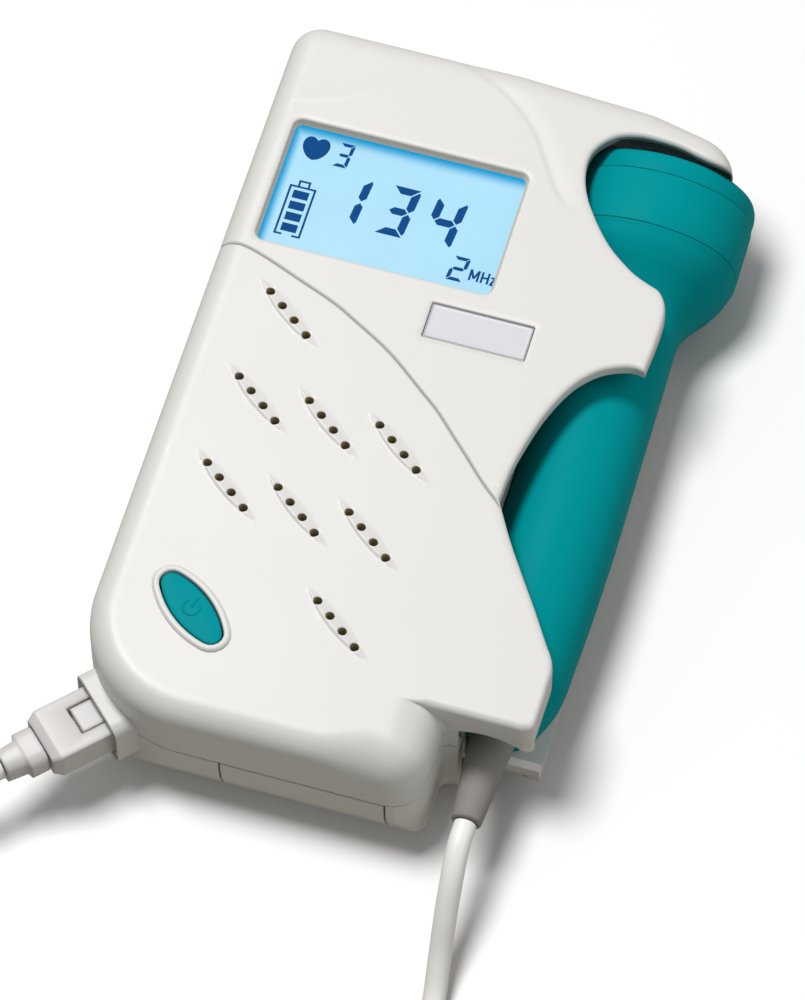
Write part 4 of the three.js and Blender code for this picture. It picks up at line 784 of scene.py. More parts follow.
def front_plan(settings):
    """Points and edges of the front face, seen from above, and the outlines that bound it."""
    outline, bay = outline_at(0), bay_line()
    points, edges = [], []

    def add(line, closed=True, joined=True):
        first = len(points)
        points.extend((float(x), float(y)) for x, y in line)
        if joined:
            count = len(line)
            edges.extend((first + i, first + (i + 1) % count) for i in range(count if closed else count - 1))

    for k in range(ROUND_STEPS + 1):
        add(even_ring(EDGE_R * (1 - math.cos(math.pi / 2 * k / ROUND_STEPS)), OUTLINE_STEP))
    for inset in CRISP_INSETS + SOFT_INSETS:
        ring = even_ring(inset, FINE_STEP)
        r = edge_radius(ring)
        ring = ring[r < 3 if inset <= CRISP_R else r > EDGE_R + 0.1]
        add(ring[distance_to(bay, ring) > 0.3], joined=False)
    add([(RELIEF_X - 0.04, NOTCH_Y), (RELIEF_X + 0.04, NOTCH_Y)], joined=False)
    for rise in STEP_RISES:
        add(evenly([(STEP_START, NOTCH_Y + rise), (STEP_END + 0.2, NOTCH_Y + rise)], 0.5), closed=False)
    add(bay, closed=False)
    for share in (0.08, 0.3, 0.62, 1):
        add(offset_line(bay, -settings.lip / MM * share), closed=False)
    for away in (LIP_REACH, LIP_REACH + LIP_BLEND):
        add(offset_line(bay, -away), closed=False)
    for grow in (0, 0.06, 0.2, WINDOW_ROUND):
        add(window_outline(WINDOW_FLARE + grow))
    for grow in (0, 0.06, SEAT_ROUND):
        add(plate_seat(grow))
    for share in (0, 0.06, 0.16, 0.3, 0.45, 0.6, 0.75, 0.87, 0.95, 1, 1.1):
        add(button_well(RIM_W * share))
    for middle, holes in leaf_places():
        for hole in holes:
            for r in (HOLE_R, 1.15 * HOLE_R):
                add(circle(*hole, r, HOLE_SIDES))
        add(list(leaf_points(*middle, holes)), joined=False)
    line = evenly(groove_line(), LINE_STEP)
    half = settings.groove_wide / MM / 2
    for share in (-2.2, -1.4, -1, -0.4, 0, 0.4, 1, 1.4, 2.2):
        add(offset_line(line, half * share), closed=False)
    for soft in (CREASE, RIDGE):
        for away in (-1, -0.6, -0.3, 0, 0.3, 0.6, 1):
            add(offset_line(evenly(catmull(soft, 8), LINE_STEP), away)[2:-2], joined=False)
    gap = settings.spacing / MM
    wide, high = GRID_SIZE
    for j in range(int(high / (gap * ROW_HIGH))):
        for i in range(int(wide / gap)):
            points.append((LEFT_X - 1 + gap * (i + 0.5 * (j % 2)), BOTTOM_Y - 1 + ROW_HIGH * gap * j))
    return np.array(points), edges, outline, bay


def hole_middles():
    return np.array([hole for _, holes in leaf_places() for hole in holes])


def face_triangles(settings):
    """The front face's points and triangles, seen from above, without those in its openings."""
    points, edges, outline, bay = front_plan(settings)
    found = geometry.delaunay_2d_cdt([Vector(p) for p in points], edges, [], 0, 1e-5, False)
    plan = np.array([(v.x, v.y) for v in found[0]])
    faces = np.array(found[2])
    middles = plan[faces].mean(axis=1)
    far = [(FAR_X, bay[-1][1] - 0.001), (FAR_X, bay[0][1])]
    keep = inside(outline, middles)
    for hole in (np.vstack([bay, far]), window_outline(WINDOW_FLARE), plate_seat(0), button_well(0)):
        keep &= ~inside(hole, middles)
    for centre in hole_middles():
        keep &= np.hypot(*(middles - centre).T) > HOLE_R * 0.995
    return plan, faces[keep], outline, bay


def front_shell_mesh(settings):
    """The front half: its face, the ceiling of the probe's room under it, and the walls of its openings."""
    plan, faces, outline, bay = face_triangles(settings)
    z = front_heights(plan, settings, outline, bay)
    for centre in hole_middles():
        z -= np.where(np.hypot(*(plan - centre).T) < HOLE_R * 1.02, HOLE_SINK, 0)
    room, thinnest = room_top(plan), z - LEAST_WALL
    under = np.minimum(room, thinnest)
    lipped = lip_share(plan, bay)
    under += lipped * (np.maximum(under, np.minimum(FRONT_Z - LIP_DEEP, thinnest)) - under)
    covers = (room > SEAM_Z + 0.01)[faces].all(axis=1) | (lipped > 0)[faces].any(axis=1)
    # Faces on the groove's floor, which take the painted shade
    from_groove = distance_to(groove_line(), plan[faces].mean(axis=1))
    groove_shade_faces = from_groove < 0.4 * settings.groove_wide / MM / 2
    bm = bmesh.new()
    top, low = {}, {}

    def vert(store, i, height):
        if i not in store:
            store[i] = bm.verts.new(at(plan[i][0], plan[i][1], height[i]))
        return store[i]

    for face, covered, in_groove_shade in zip(faces, covers, groove_shade_faces):
        above = bm.faces.new([vert(top, i, z) for i in face])
        above.material_index = GROOVE_PAINTED_SHADE if in_groove_shade else HOUSING
        if covered:
            below = bm.faces.new([vert(low, i, under) for i in reversed(face)])
            # The underside of the thin lip takes the painted shade
            below.material_index = PAINTED_SHADE if lipped[face].any() else HOUSING
    add_walls(bm, {v: i for i, v in top.items()}, plan, z, under, outline, bay)
    bmesh.ops.remove_doubles(bm, verts=bm.verts, dist=2e-6)
    return bm


def add_walls(bm, index, plan, z, under, outline, bay):
    """Walls down from the open edges of the front face, and a tongue inside the seam."""
    on_bay = distance_to(bay, plan) < 0.02
    on_out = distance_to(outline, plan, True) < 0.1
    centres, ring = hole_middles(), outline_at(TONGUE_INSET)
    foot, tongues = {}, {}

    def foot_of(v):
        i = index[v]
        if i not in foot:
            height = foot_height(*plan[i], under[i], on_bay[i], on_out[i])
            foot[i] = bm.verts.new(at(*foot_place(*plan[i]), min(height, z[i] - 0.2)))
        return foot[i]

    rims = [edge for edge in bm.edges if len(edge.link_faces) == 1 and all(v in index for v in edge.verts)]
    for edge in rims:
        loop = edge.link_loops[0]
        a, b = loop.vert, loop.link_loop_next.vert
        wall = bm.faces.new([b, a, foot_of(a), foot_of(b)])
        if all(on_out[index[v]] and abs(foot_of(v).co.z - WALL_FOOT_Z * MM) < 1e-6 for v in (a, b)):
            tongue(bm, foot_of(a), foot_of(b), tongues, ring)
        place = plan[index[a]]
        # Walls of the grille's holes take the painted shade
        if np.hypot(*(centres - place).T).min() < HOLE_R * 1.05:
            wall.material_index = HOLE_SHADE
        # Walls of the display window take the painted light
        elif in_window(*place):
            wall.material_index = RECESS_PAINTED_LIGHT
        # Walls round the probe's head take the painted shade
        elif on_bay[index[a]] and place[1] > NECK_Y:
            wall.material_index = PAINTED_SHADE


def foot_height(x, y, ceiling, on_bay, on_out):
    """How low the wall under a point of the front face goes."""
    if not on_out:
        return ceiling if on_bay else hole_foot(x, y)
    if y < TAIL_Y + 2 and x > RELIEF_X:
        r = HANDLE_R + PROBE_GAP
        return PROBE_Z + math.sqrt(r**2 - min(x - PROBE_X, ARCH_REACH) ** 2)
    return WALL_FOOT_Z


def nearest_on(ring, place):
    """The nearest place to a point on a closed outline."""
    ends = np.roll(ring, -1, axis=0)
    d = ends - ring
    t = np.clip(((place - ring) * d).sum(axis=1) / np.maximum((d * d).sum(axis=1), 1e-12), 0, 1)
    found = ring + t[:, None] * d
    return found[np.argmin(np.hypot(*(found - place).T))]


def tongue(bm, a, b, made, ring):
    """A lip inside the seam, so that no light comes through it."""
    for v in (a, b):
        if v not in made:
            x, y = nearest_on(ring, np.array((v.co - ORIGIN).xy) / MM)
            made[v] = [bm.verts.new(at(x, y, WALL_FOOT_Z - deep)) for deep in (0, TONGUE_DEEP)]
    (a1, a2), (b1, b2) = made[a], made[b]
    bm.faces.new([b, a, a1, b1])
    bm.faces.new([b1, a1, a2, b2])


def in_window(x, y):
    reach = WINDOW_FLARE + 0.1
    return abs(x - WINDOW[0]) < WINDOW[2] / 2 + reach and abs(y - WINDOW[1]) < WINDOW[3] / 2 + reach


def hole_foot(x, y):
    """How deep the wall of an opening in the front face goes."""
    if in_window(x, y):
        return FRONT_Z - WINDOW_DEEP
    if abs(x - PLATE[0]) < PLATE[2] / 2 + 0.5 and abs(y - PLATE[1]) < PLATE[3] / 2 + 0.5:
        return FRONT_Z - SEAT_DEEP
    return FRONT_Z - HOLE_DEEP


def foot_place(x, y):
    """The window's walls slope inwards; other walls go straight down."""
    if not in_window(x, y):
        return x, y
    r = WINDOW_R + WINDOW_FLARE
    dx, dy = x - WINDOW[0], y - WINDOW[1]
    cx = WINDOW[0] + math.copysign(min(abs(dx), WINDOW[2] / 2 - WINDOW_R), dx)
    cy = WINDOW[1] + math.copysign(min(abs(dy), WINDOW[3] / 2 - WINDOW_R), dy)
    return cx + (x - cx) * WINDOW_R / r, cy + (y - cy) * WINDOW_R / r


class MONITOR_OT_front_shell(bpy.types.Operator):
    """Front half of the housing"""

    bl_idname = "monitor.front_shell"
    bl_label = "Front Shell"

    def execute(self, context):
        bm = front_shell_mesh(context.scene.monitor_housing)
        bmesh.ops.recalc_face_normals(bm, faces=bm.faces)
        # A lighter, warmer copy of the housing plastic on the window's walls: painted light on walls that lie
        # in shade
        recess_painted_light = material("Window Recess Painted Light", linear(226, 219, 202), rough=0.5, grain=0.06, edge_round=0.1)
        # A darker grey copy of the housing plastic: painted shade on the walls round the probe's head and
        # under the thin lip
        bay_painted_shade = material("Bay Wall Painted Shade", linear(128, 130, 126), rough=0.6, edge_round=0.1)
        # A darker copy of the housing plastic on the groove's floor: painted shade in the groove
        groove = material("Groove Painted Shade", linear(168, 165, 157), rough=0.6, edge_round=0.05)
        made = (shell_material(), hole_shade_material(), recess_painted_light, bay_painted_shade, groove)
        finish_mesh(
            "front_moulding", bm, "housing", "shell_white", *made, smooth=38, replaced=("front_shell",))
        return {"FINISHED"}


class MONITOR_OT_rear_shell(bpy.types.Operator):
    """Rear half of the housing, with the battery door"""

    bl_idname = "monitor.rear_shell"
    bl_label = "Rear Shell and Door"

    def execute(self, context):
        copy_solid("rear_shell", "housing", "shell_white", shell_material())
        copy_solid("battery_door", "battery_door", "door_white", shell_material())
        return {"FINISHED"}


# Display
SEGMENTS = {"1": "bc", "2": "abged", "3": "abgcd", "4": "fgbc"}
DIGITS = [
    ("1", -10.6, -5.45, 5.0, 10.4, 1.5), ("3", -2.0, -5.45, 5.2, 10.4, 1.5),
    ("4", 6.3, -5.45, 5.6, 10.4, 1.5), ("3", -13.1, 5.8, 2.7, 5.1, 0.66),
    ("2", 12.8, -11.3, 3.0, 5.1, 0.68),
]
HEART = (-16.8, 8.25, 5.0)
HEART_SIDE = [
    (0, 0.37), (0.09, 0.45), (0.25, 0.49), (0.41, 0.41), (0.49, 0.22), (0.47, 0), (0.37, -0.21), (0.2, -0.39),
    (0, -0.48),
]
UNIT = (16.9, -10.45)
UNIT_HIGH = 2.3
UNIT_THICK = 0.4
BATTERY_BARS = (-0.95, -3.3, -5.65, -8.0)
LIGHT_BANDS = (("X", -21.4, 2.0), ("Y", 12.5, -2.9))
INK_RISE = 0.03


def segment_shapes(text, x, y, wide, high, thick, slant):
    """Outlines of a slanted digit's bars; x and y are its lower left corner."""
    t, g = thick, thick * 0.12
    half = high / 2
    bars = {
        "a": [(g, high), (wide - g, high), (wide - t - g, high - t), (t + g, high - t)],
        "d": [(g, 0), (t + g, t), (wide - t - g, t), (wide - g, 0)],
        "g": [
            (g + t / 2, half), (t + g, half + t / 2), (wide - t - g, half + t / 2),
            (wide - g - t / 2, half), (wide - t - g, half - t / 2), (t + g, half - t / 2),
        ],
    }
    right, left = (wide, wide - t), (0, t)
    for name, (outer, inner), way in (("b", right, 1), ("c", right, -1), ("f", left, 1), ("e", left, -1)):
        tip, shoulder, corner, end = (half + way * d for d in (g, t / 2 + g, half - t - g, half - g))
        bars[name] = [
            (outer * 0.8 + inner * 0.2, end - way * 0.2 * t), (outer, end - way * 0.5 * t), (outer, shoulder),
            ((outer + inner) / 2, tip), (inner, shoulder), (inner, corner),
        ]
    return [[(x + px + slant * py, y + py) for px, py in bars[name]] for name in SEGMENTS[text]]


def heart_shape(x, y, size):
    half = catmull(HEART_SIDE, 5)
    whole = np.vstack([half, half[-2:0:-1] * (-1, 1)])
    return [(x + px * size, y + py * size) for px, py in whole]


def bar_shape(x0, x1, y0, y1):
    return [(x0, y0), (x1, y0), (x1, y1), (x0, y1)]


def stroke(x0, y0, x1, y1, thick):
    wx, wy = Vector((x1 - x0, y1 - y0)).normalized() * thick / 2
    return [(x0 - wy, y0 + wx), (x1 - wy, y1 + wx), (x1 + wy, y1 - wx), (x0 + wy, y0 - wx)]


def unit_shapes():
    """The unit of the probe's frequency."""
    (x, y), high = UNIT, UNIT_HIGH
    lines = [(0, 0, 0, high), (0, high, 0.72, 0.5), (0.72, 0.5, 1.44, high), (1.44, high, 1.44, 0)]
    lines += [(2.15, 0, 2.15, high), (3.25, 0, 3.25, high), (2.15, high / 2, 3.25, high / 2)]
    lines += [(3.75, 1.5, 4.6, 1.5), (4.5, 1.5, 3.85, 0.1), (3.75, 0.1, 4.6, 0.1)]
    return [stroke(x + a, y + b, x + c, y + d, UNIT_THICK) for a, b, c, d in lines]


def battery_shapes():
    """The outline of an upright battery, open at its foot, and its bars."""
    left, right, low, high, line = -19.0, -14.1, -10.6, 0.0, 0.4
    neck_left, neck_right, neck_high = -17.6, -15.4, 1.25
    bars = [
        (left, left + line, low, high), (right - line, right, low, high),
        (left + line, neck_left, high - line, high), (neck_right, right - line, high - line, high),
        (neck_left, neck_left + line, high - line, neck_high),
        (neck_right - line, neck_right, high - line, neck_high),
        (neck_left + line, neck_right - line, neck_high - line, neck_high),
        (left + line, left + 1.5, low, low + line), (right - 1.6, right - line, low, low + line),
        (neck_left + line, neck_right - line, high - line, high),
    ]
    bars += [(left + 1, right - 1, top - 1.7, top) for top in BATTERY_BARS]
    return [bar_shape(*bar) for bar in bars]


def flat_shapes(bm, shapes, z):
    for shape in shapes:
        face = bm.faces.new([bm.verts.new(at(x + INK_SHIFT[0], y + INK_SHIFT[1], z)) for x, y in shape])
        face.normal_update()
        if face.normal.z < 0:
            face.normal_flip()


def cloudy(tree, scale, low, high):
    """A share that wavers between two values; gives its node and the one that says the place."""
    where = add_node(tree, "ShaderNodeTexCoord")
    cloud = add_node(tree, "ShaderNodeTexNoise", {"Scale": scale})
    uneven = add_node(tree, "ShaderNodeMapRange", {"To Min": low, "To Max": high})
    wire(tree, (where, "Object", cloud, "Vector"), (cloud, "Fac", uneven, "Value"))
    return uneven, where


def lit_material(settings):
    """The back light: an even glow with a deeper band along the upper and left edges."""
    made, tree, surface = new_material("Display Light")
    set_inputs(surface, {"Base Color": (0.01, 0.02, 0.03, 1), "Roughness": 0.5, "Specular IOR Level": 0.1})
    uneven, where = cloudy(tree, 90, 0.94, 1.04)
    split = add_node(tree, "ShaderNodeSeparateXYZ")
    widest = add_node(tree, "ShaderNodeMath", operation="MAXIMUM")
    colours = {"A": (*settings.light, 1), "B": (*settings.edge, 1)}
    mix = add_node(tree, "ShaderNodeMix", colours, data_type="RGBA")
    seen = add_node(tree, "ShaderNodeLightPath")
    glow = add_node(tree, "ShaderNodeMapRange", {"To Min": 0.25})
    power = add_node(tree, "ShaderNodeMath", operation="MULTIPLY")
    for k, (axis, place, reach) in enumerate(LIGHT_BANDS):
        edge = ORIGIN[k] + (place + INK_SHIFT[k]) * MM
        ends = {"From Min": edge, "From Max": edge + reach * MM, "To Min": 1, "To Max": 0}
        away = add_node(tree, "ShaderNodeMapRange", ends, interpolation_type="SMOOTHSTEP")
        wire(tree, (split, axis, away, "Value"), (away, "Result", widest, k))
    wire(
        tree,
        (where, "Object", split, "Vector"), (widest, "Value", mix, "Factor"),
        (mix, "Result", surface, "Emission Color"), (seen, "Is Camera Ray", glow, "Value"),
        (uneven, "Result", power, 0), (glow, "Result", power, 1),
        (power, "Value", surface, "Emission Strength"),
    )
    return made


def ink_material(settings):
    made, tree, surface = new_material("Display Ink")
    set_inputs(surface, {
        "Base Color": (0.0, 0.004, 0.01, 1), "Emission Color": (*settings.ink, 1), "Roughness": 0.6,
        "Specular IOR Level": 0.02,
    })
    wire(tree, (cloudy(tree, 300, 0.85, 1.05)[0], "Result", surface, "Emission Strength"))
    return made


def window_material():
    made = material("Window", (1, 1, 1), rough=0.03, grain=0, specular=0.2)
    set_inputs(made.node_tree.nodes["Principled BSDF"], {"Alpha": 0.003})
    return made


class MONITOR_OT_display(bpy.types.Operator):
    """Lit display with its digits, heart, battery and unit, under a clear window"""

    bl_idname = "monitor.display"
    bl_label = "Display"

    def execute(self, context):
        settings = context.scene.monitor_display
        low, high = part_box("display_glass")
        bm = bmesh.new()
        size = Vector(high) - Vector(low)
        centre = (Vector(high) + Vector(low)) / 2
        bmesh.ops.create_cube(bm, size=1, matrix=Matrix.Translation(centre) @ Matrix.Diagonal((*size, 1)))
        bmesh.ops.bevel(
            bm, geom=bm.edges[:], offset=0.3 * MM, offset_type="OFFSET", segments=2, profile=0.5,
            affect="EDGES", material=-1)
        light = lit_material(settings)
        finish_mesh("display_panel", bm, "housing", "display", light, replaced=("display_glass",))
        ink = bmesh.new()
        shapes = [heart_shape(*HEART)] + battery_shapes() + unit_shapes()
        for digit in DIGITS:
            shapes += segment_shapes(*digit, settings.slant)
        flat_shapes(ink, shapes, high[2] / MM + INK_RISE)
        finish_mesh("display_segments", ink, "housing", "display", ink_material(settings))
        copy_solid("display_lens", "housing", "lens", window_material())
        return {"FINISHED"}


class MONITOR_OT_name_plate(bpy.types.Operator):
    """Blank plate under the display, with a fine line round its edge"""

    bl_idname = "monitor.name_plate"
    bl_label = "Name Plate"

    def execute(self, context):
        x, y, wide, high = PLATE
        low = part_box("name_plate")[0][2] / MM
        bm = bmesh.new()
        loops = []
        for inset, z in (
            (0, low), (0, PLATE_TOP_Z - 0.12), (0.1, PLATE_TOP_Z), (0.28, PLATE_TOP_Z), (0.42, PLATE_LINE_Z),
            (0.8, PLATE_LINE_Z), (1.4, PLATE_LINE_Z),
        ):
            loop = rounded_rectangle(x, y, wide - 2 * inset, high - 2 * inset, PLATE_R + 0.1 * inset, 4)
            loops.append([bm.verts.new(at(px, py, z)) for px, py in loop])
        for face in skin(bm, loops)[2]:
            face.material_index = 1
        plain = material("Plate", linear(204, 205, 209), rough=0.32, grain=0.02, edge_round=0.05, coat=0.3)
        line = material("Plate Line", linear(150, 150, 152), rough=0.4, grain=0.02, edge_round=0.05)
        finish_mesh("plate_blank", bm, "housing", "plate_silver", plain, line, replaced=("name_plate",))
        return {"FINISHED"}


class MONITOR_OT_power_button(bpy.types.Operator):
    """Domed power button with its raised symbol"""

    bl_idname = "monitor.power_button"
    bl_label = "Power Button"

    def execute(self, context):
        x, y, long, wide = BUTTON
        bm = bmesh.new()
        rings = [(0, FRONT_Z - BUTTON_FOOT)]
        rings += [(0, FRONT_Z + 0.02), (-0.07, FRONT_Z + 0.14), (-0.2, FRONT_Z + 0.22)]
        for s in (0.15, 0.3, 0.45, 0.6, 0.75, 0.9, 1):
            rings.append((-0.2 - BUTTON_DOME * s, FRONT_Z + 0.22 + 0.24 * math.sin(s * math.pi / 2)))
        loops = []
        for grow, z in rings:
            loop = leaf(x, y, long + 2 * grow, wide + 2 * grow, BUTTON_TURN, max(BUTTON_TIP + grow, 0.35))
            loops.append([bm.verts.new(at(px, py, min(z, BUTTON_TOP_Z))) for px, py in loop])
        skin(bm, loops)
        for line in power_symbol(x, y, 1.45):
            tube(bm, [at(px, py, BUTTON_TOP_Z - 0.1) for px, py in line], 0.25 * MM, 10)
        bmesh.ops.recalc_face_normals(bm, faces=bm.faces)
        teal = context.scene.monitor_housing.button
        made = material("Button Plastic", teal, rough=0.5, grain=0.05, edge_round=0.1, specular=0.03)
        finish_mesh(
            "button_cap", bm, "power_button", "button_teal", made, smooth=45, replaced=("power_button",))
        return {"FINISHED"}


def power_symbol(x, y, r, turn=-14, gap=84, steps=24):
    """An open ring and a bar through its gap, turned in its plane; angles are degrees."""
    def place(a, far):
        a = math.radians(a + turn)
        return x + far * math.cos(a), y + far * math.sin(a)

    ring = [place(90 + gap / 2 + (360 - gap) * i / steps, r) for i in range(steps + 1)]
    return [ring, [place(90, 0.1), place(90, r * 0.8), place(90, r * 1.5)]]


def tube(bm, line, r, sides):
    """A round tube along a line of points."""
    line = [Vector(p) for p in line]
    rings = []
    up = Vector((0, 0, 1))
    for i, p in enumerate(line):
        way = (line[min(i + 1, len(line) - 1)] - line[max(i - 1, 0)]).normalized()
        side = up.cross(way).normalized()
        top = way.cross(side)
        rings.append([bm.verts.new(p + side * x + top * y) for x, y in circle(0, 0, r, sides)])
    skin(bm, rings)


# Probe
def lathe(name, profile, slot, made, replaced):
    """A profile of radii and places along the probe's axis, turned right round and leaning a little."""
    settings = bpy.context.scene.monitor_probe
    bm = bmesh.new()
    verts = [bm.verts.new(at(PROBE_X, y, PROBE_Z + r)) for r, y in profile]
    edges = [bm.edges.new(pair) for pair in zip(verts, verts[1:])]
    bmesh.ops.spin(
        bm, geom=verts + edges, cent=at(PROBE_X, 0, PROBE_Z), axis=(0, 1, 0), angle=2 * math.pi,
        steps=settings.around, use_merge=True)
    bmesh.ops.remove_doubles(bm, verts=bm.verts, dist=2e-6)
    top, neck, bell = (PROBE_Z + HEAD_R) * MM, at(0, NECK_Y, 0).y, at(0, BELL_Y, 0).y
    for v in bm.verts:
        down = between(v.co.z, top, top - HEAD_R * MM)
        v.co.y += settings.lean * math.sin(down * math.pi / 2) * between(v.co.y, neck, bell) ** 2
    bmesh.ops.recalc_face_normals(bm, faces=bm.faces)
    return finish_mesh(name, bm, "probe", slot, made, smooth=30, replaced=(replaced,))


def soft_corner(points, r, steps=4):
    """An open profile whose inner corners are rounded by at most a radius."""
    made = [points[0]]
    for a, b, c in zip(points, points[1:], points[2:]):
        before, after = Vector(a) - Vector(b), Vector(c) - Vector(b)
        reach = min(r, before.length * 0.45, after.length * 0.45)
        start, end = Vector(b) + before.normalized() * reach, Vector(b) + after.normalized() * reach
        for k in range(steps + 1):
            t = k / steps
            made.append(tuple((1 - t) ** 2 * start + 2 * t * (1 - t) * Vector(b) + t**2 * end))
    made.append(points[-1])
    return made


class MONITOR_OT_probe(bpy.types.Operator):
    """The probe's face, head and handle, and its strain relief"""

    bl_idname = "monitor.probe"
    bl_label = "Probe"

    def execute(self, context):
        settings = context.scene.monitor_probe
        plastic = probe_material()
        r = HEAD_R + settings.swell / MM
        handle = [(0, TAIL_Y), (TAIL_R - 1.6, TAIL_Y)]
        handle += [(TAIL_R - 0.5, TAIL_Y + 0.25), (TAIL_R + 0.15, TAIL_Y + 1)]
        for y, wide in catmull(handle_profile(), 10)[1:]:
            if y > TAIL_Y + 2:
                fuller = HANDLE_FULLER * math.sin(math.pi * (NECK_Y - y) / (NECK_Y - TAIL_Y))
                handle.append((min(wide, HANDLE_MOST_R) + fuller, y))
        handle += [(wide, y) for y, wide in catmull(bell_profile(r), 8)[1:] if y < BELL_Y - 0.7]
        handle += [(r - 0.01, BELL_Y - 0.2), (r - 0.06, BELL_Y - 0.04), (r - 0.25, BELL_Y)]
        handle += [(r - 2, BELL_Y), (0, BELL_Y)]
        lathe("handle_moulding", handle, "probe_teal", plastic, "probe_handle")
        low, high = BELL_Y + SEAM_LOW, CAP_Y
        head = [
            (0, low), (r - 0.25, low), (r - 0.06, low + 0.04), (r, low + 0.2), (r + 0.02, low + 4),
            (r, high - 1.6), (r - 0.02, high - 0.4), (r - 0.12, high - 0.08), (r - 0.3, high), (0, high),
        ]
        lathe("head_moulding", head, "probe_teal", plastic, "probe_head")
        low = CAP_Y + SEAM_HIGH
        face = [
            (0, low), (r - 0.4, low), (r - 0.27, low + 0.06), (r - 0.22, low + 0.3), (r - 0.2, low + 2.6),
            (r - 0.27, low + 3.2), (r - 0.5, low + 3.7), (r - 0.95, low + 4.05), (r - 1.6, low + 4.22),
            (r - 4, low + 4.25), (0, low + 4.25),
        ]
        lathe("face_moulding", face, "probe_teal", plastic, "probe_face")
        start, end = TAIL_Y - 0.3, RELIEF_END_Y
        relief = soft_corner([
            (0, end), (2.3, end), (2.65, end + 0.3), (2.75, end + 1.2), (4.0, start - 0.8),
            (4.1, start - 0.4), (4.1, start), (0, start)], 0.35)
        grey = material("Relief Rubber", settings.relief, rough=0.7, grain=0.12, edge_round=0.1, specular=0.2)
        lathe("relief_moulding", relief, "relief_grey", grey, "probe_strain_relief")
        return {"FINISHED"}


# Cords
def coil_line(steps=24):
    """A spiral inwards on the upper layer and outwards on the lower one, with steps points to a turn."""
    c = COIL
    inner = c["turns"] * 360
    total = 2 * inner + c["to"] - c["from"] - 360
    count = round(total / 360 * steps)
    points = []
    for i in range(count + 1):
        turned = total * i / count
        r = c["r"] - c["pitch"] * (inner - abs(turned - inner)) / 360
        sunk = eased(between(turned, inner - 90, inner + 90))
        a = math.radians(c["from"] + turned)
        z = c["z"] + c["layer"] * (1 - sunk)
        points.append((c["x"] + r * math.cos(a), c["y"] + r * math.sin(a), z))
    return np.array(points)


def straight_end(face, way):
    """Two points straight on from an end: a small gap away, and the tube's thickness further."""
    face, way = np.array(face, float), np.array(way, float) / np.linalg.norm(way)
    return [face + CORD_GAP * way, face + (CORD_GAP + 2 * CORD_R) * way]


def cord_routes():
    """The three lines of the cord, from the probe over the coil to the plug."""
    ends = coil_line()
    probe_end = straight_end((PROBE_X, RELIEF_END_Y, PROBE_Z), (0, -1, 0))
    turn = math.radians(BOSS_TURN)
    out = (math.cos(turn), math.sin(turn), 0)
    boot = straight_end([BOSS[k] + BOOT_END * out[k] for k in range(3)], out)
    first = straight_end(ends[0], ends[0] - ends[1])
    last = straight_end(ends[-1], ends[-1] - ends[-2])
    return {
        "from_probe": catmull([*probe_end, *FROM_PROBE_VIA, *reversed(last)], 6),
        "coil": coil_line(72),
        "to_plug": catmull([*boot, *TO_PLUG_VIA, *reversed(first)], 6),
    }


def cord_piece(context, name, node, line, sides=20):
    """A piece of the cord along its line; gives it with its path and length."""
    settings = context.scene.monitor_cord
    bm = bmesh.new()
    path = [at(*p) for p in line]
    tube(bm, path, settings.radius, sides)
    bmesh.ops.recalc_face_normals(bm, faces=bm.faces)
    jacket = material("Cord Jacket", settings.jacket, rough=0.42, grain=0.05, edge_round=0.05)
    obj = finish_mesh(name, bm, None, "cord_white", jacket, smooth=40, replaced=(node,))
    long = sum((b - a).length for a, b in zip(path, path[1:]))
    return obj, path, long


class MONITOR_OT_cords(bpy.types.Operator):
    """The probe's cord: from the probe to its coil, the coil with its tie, and on to the plug"""

    bl_idname = "monitor.cords"
    bl_label = "Cords"

    def execute(self, context):
        routes = cord_routes()
        obj, path, long = cord_piece(context, "probe_cord", "cord_from_probe", routes["from_probe"])
        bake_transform(obj)
        obj, path, long = cord_piece(context, "cord_turns", "cord_coil", routes["coil"], 16)
        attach(obj, "housing")
        black = material("Tie", linear(40, 41, 43), rough=0.6, grain=0.1)
        tie = copy_solid("cord_tie", "housing", "seal_rubber", black)
        obj, path, long = cord_piece(context, "plug_cord", "cord_to_plug", routes["to_plug"])
        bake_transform(obj)
        plastic = plug_material()
        pieces = [
            copy_solid("plug_body", "plug", "plug_white", plastic),
            copy_solid("plug_boot", "plug", "plug_white", plastic),
            copy_solid("plug_latch", "plug_latch", "plug_white", plastic),
        ]
        return {"FINISHED"}


class MONITOR_OT_inner_parts(bpy.types.Operator):
    """Speaker, board, batteries, wheel, jack and screws: their solids in fitting materials"""

    bl_idname = "monitor.inner_parts"
    bl_label = "Inner Parts"

    def execute(self, context):
        dark = material("Dark Plastic", linear(44, 45, 47), rough=0.5)
        steel = material("Plated Steel", linear(190, 192, 196), rough=0.28, metal=1, grain=0.03)
        looks = {
            "main_board": material("Board Lacquer", linear(30, 108, 60), rough=0.35, grain=0.1),
            "speaker_cone": material("Cone Paper", linear(34, 30, 22), rough=0.9, grain=0.5, scale=900),
            "probe_socket": plug_material(),
            "display_holder": material("Holder", linear(238, 238, 236), rough=0.5),
            "battery_cell_1": material("Cell Sleeve", linear(48, 74, 98), rough=0.3, coat=0.4),
            "transmit_crystal": material("Ceramic", linear(216, 207, 169), rough=0.5),
            "transducer_backing": material("Resin", linear(58, 58, 62), rough=0.7),
            "probe_seal_ring": material("Seal Rubber", linear(34, 36, 38), rough=0.7),
        }
        looks["battery_cell_2"] = looks["battery_cell_1"]
        looks["receive_crystal"] = looks["transmit_crystal"]
        looks["probe_board"] = looks["main_board"]
        for node in ("speaker_frame", "button_switch", "volume_wheel", "volume_control", "earphone_jack"):
            looks[node] = dark
        for node in (
            "case_screw_1", "case_screw_2", "case_screw_3", "case_screw_4", "board_screw_1", "board_screw_2",
            "battery_contact_1", "battery_contact_2", "battery_bridge", "speaker_magnet",
        ):
            looks[node] = steel
        for node, made in looks.items():
            paint(node, made)
        return {"FINISHED"}


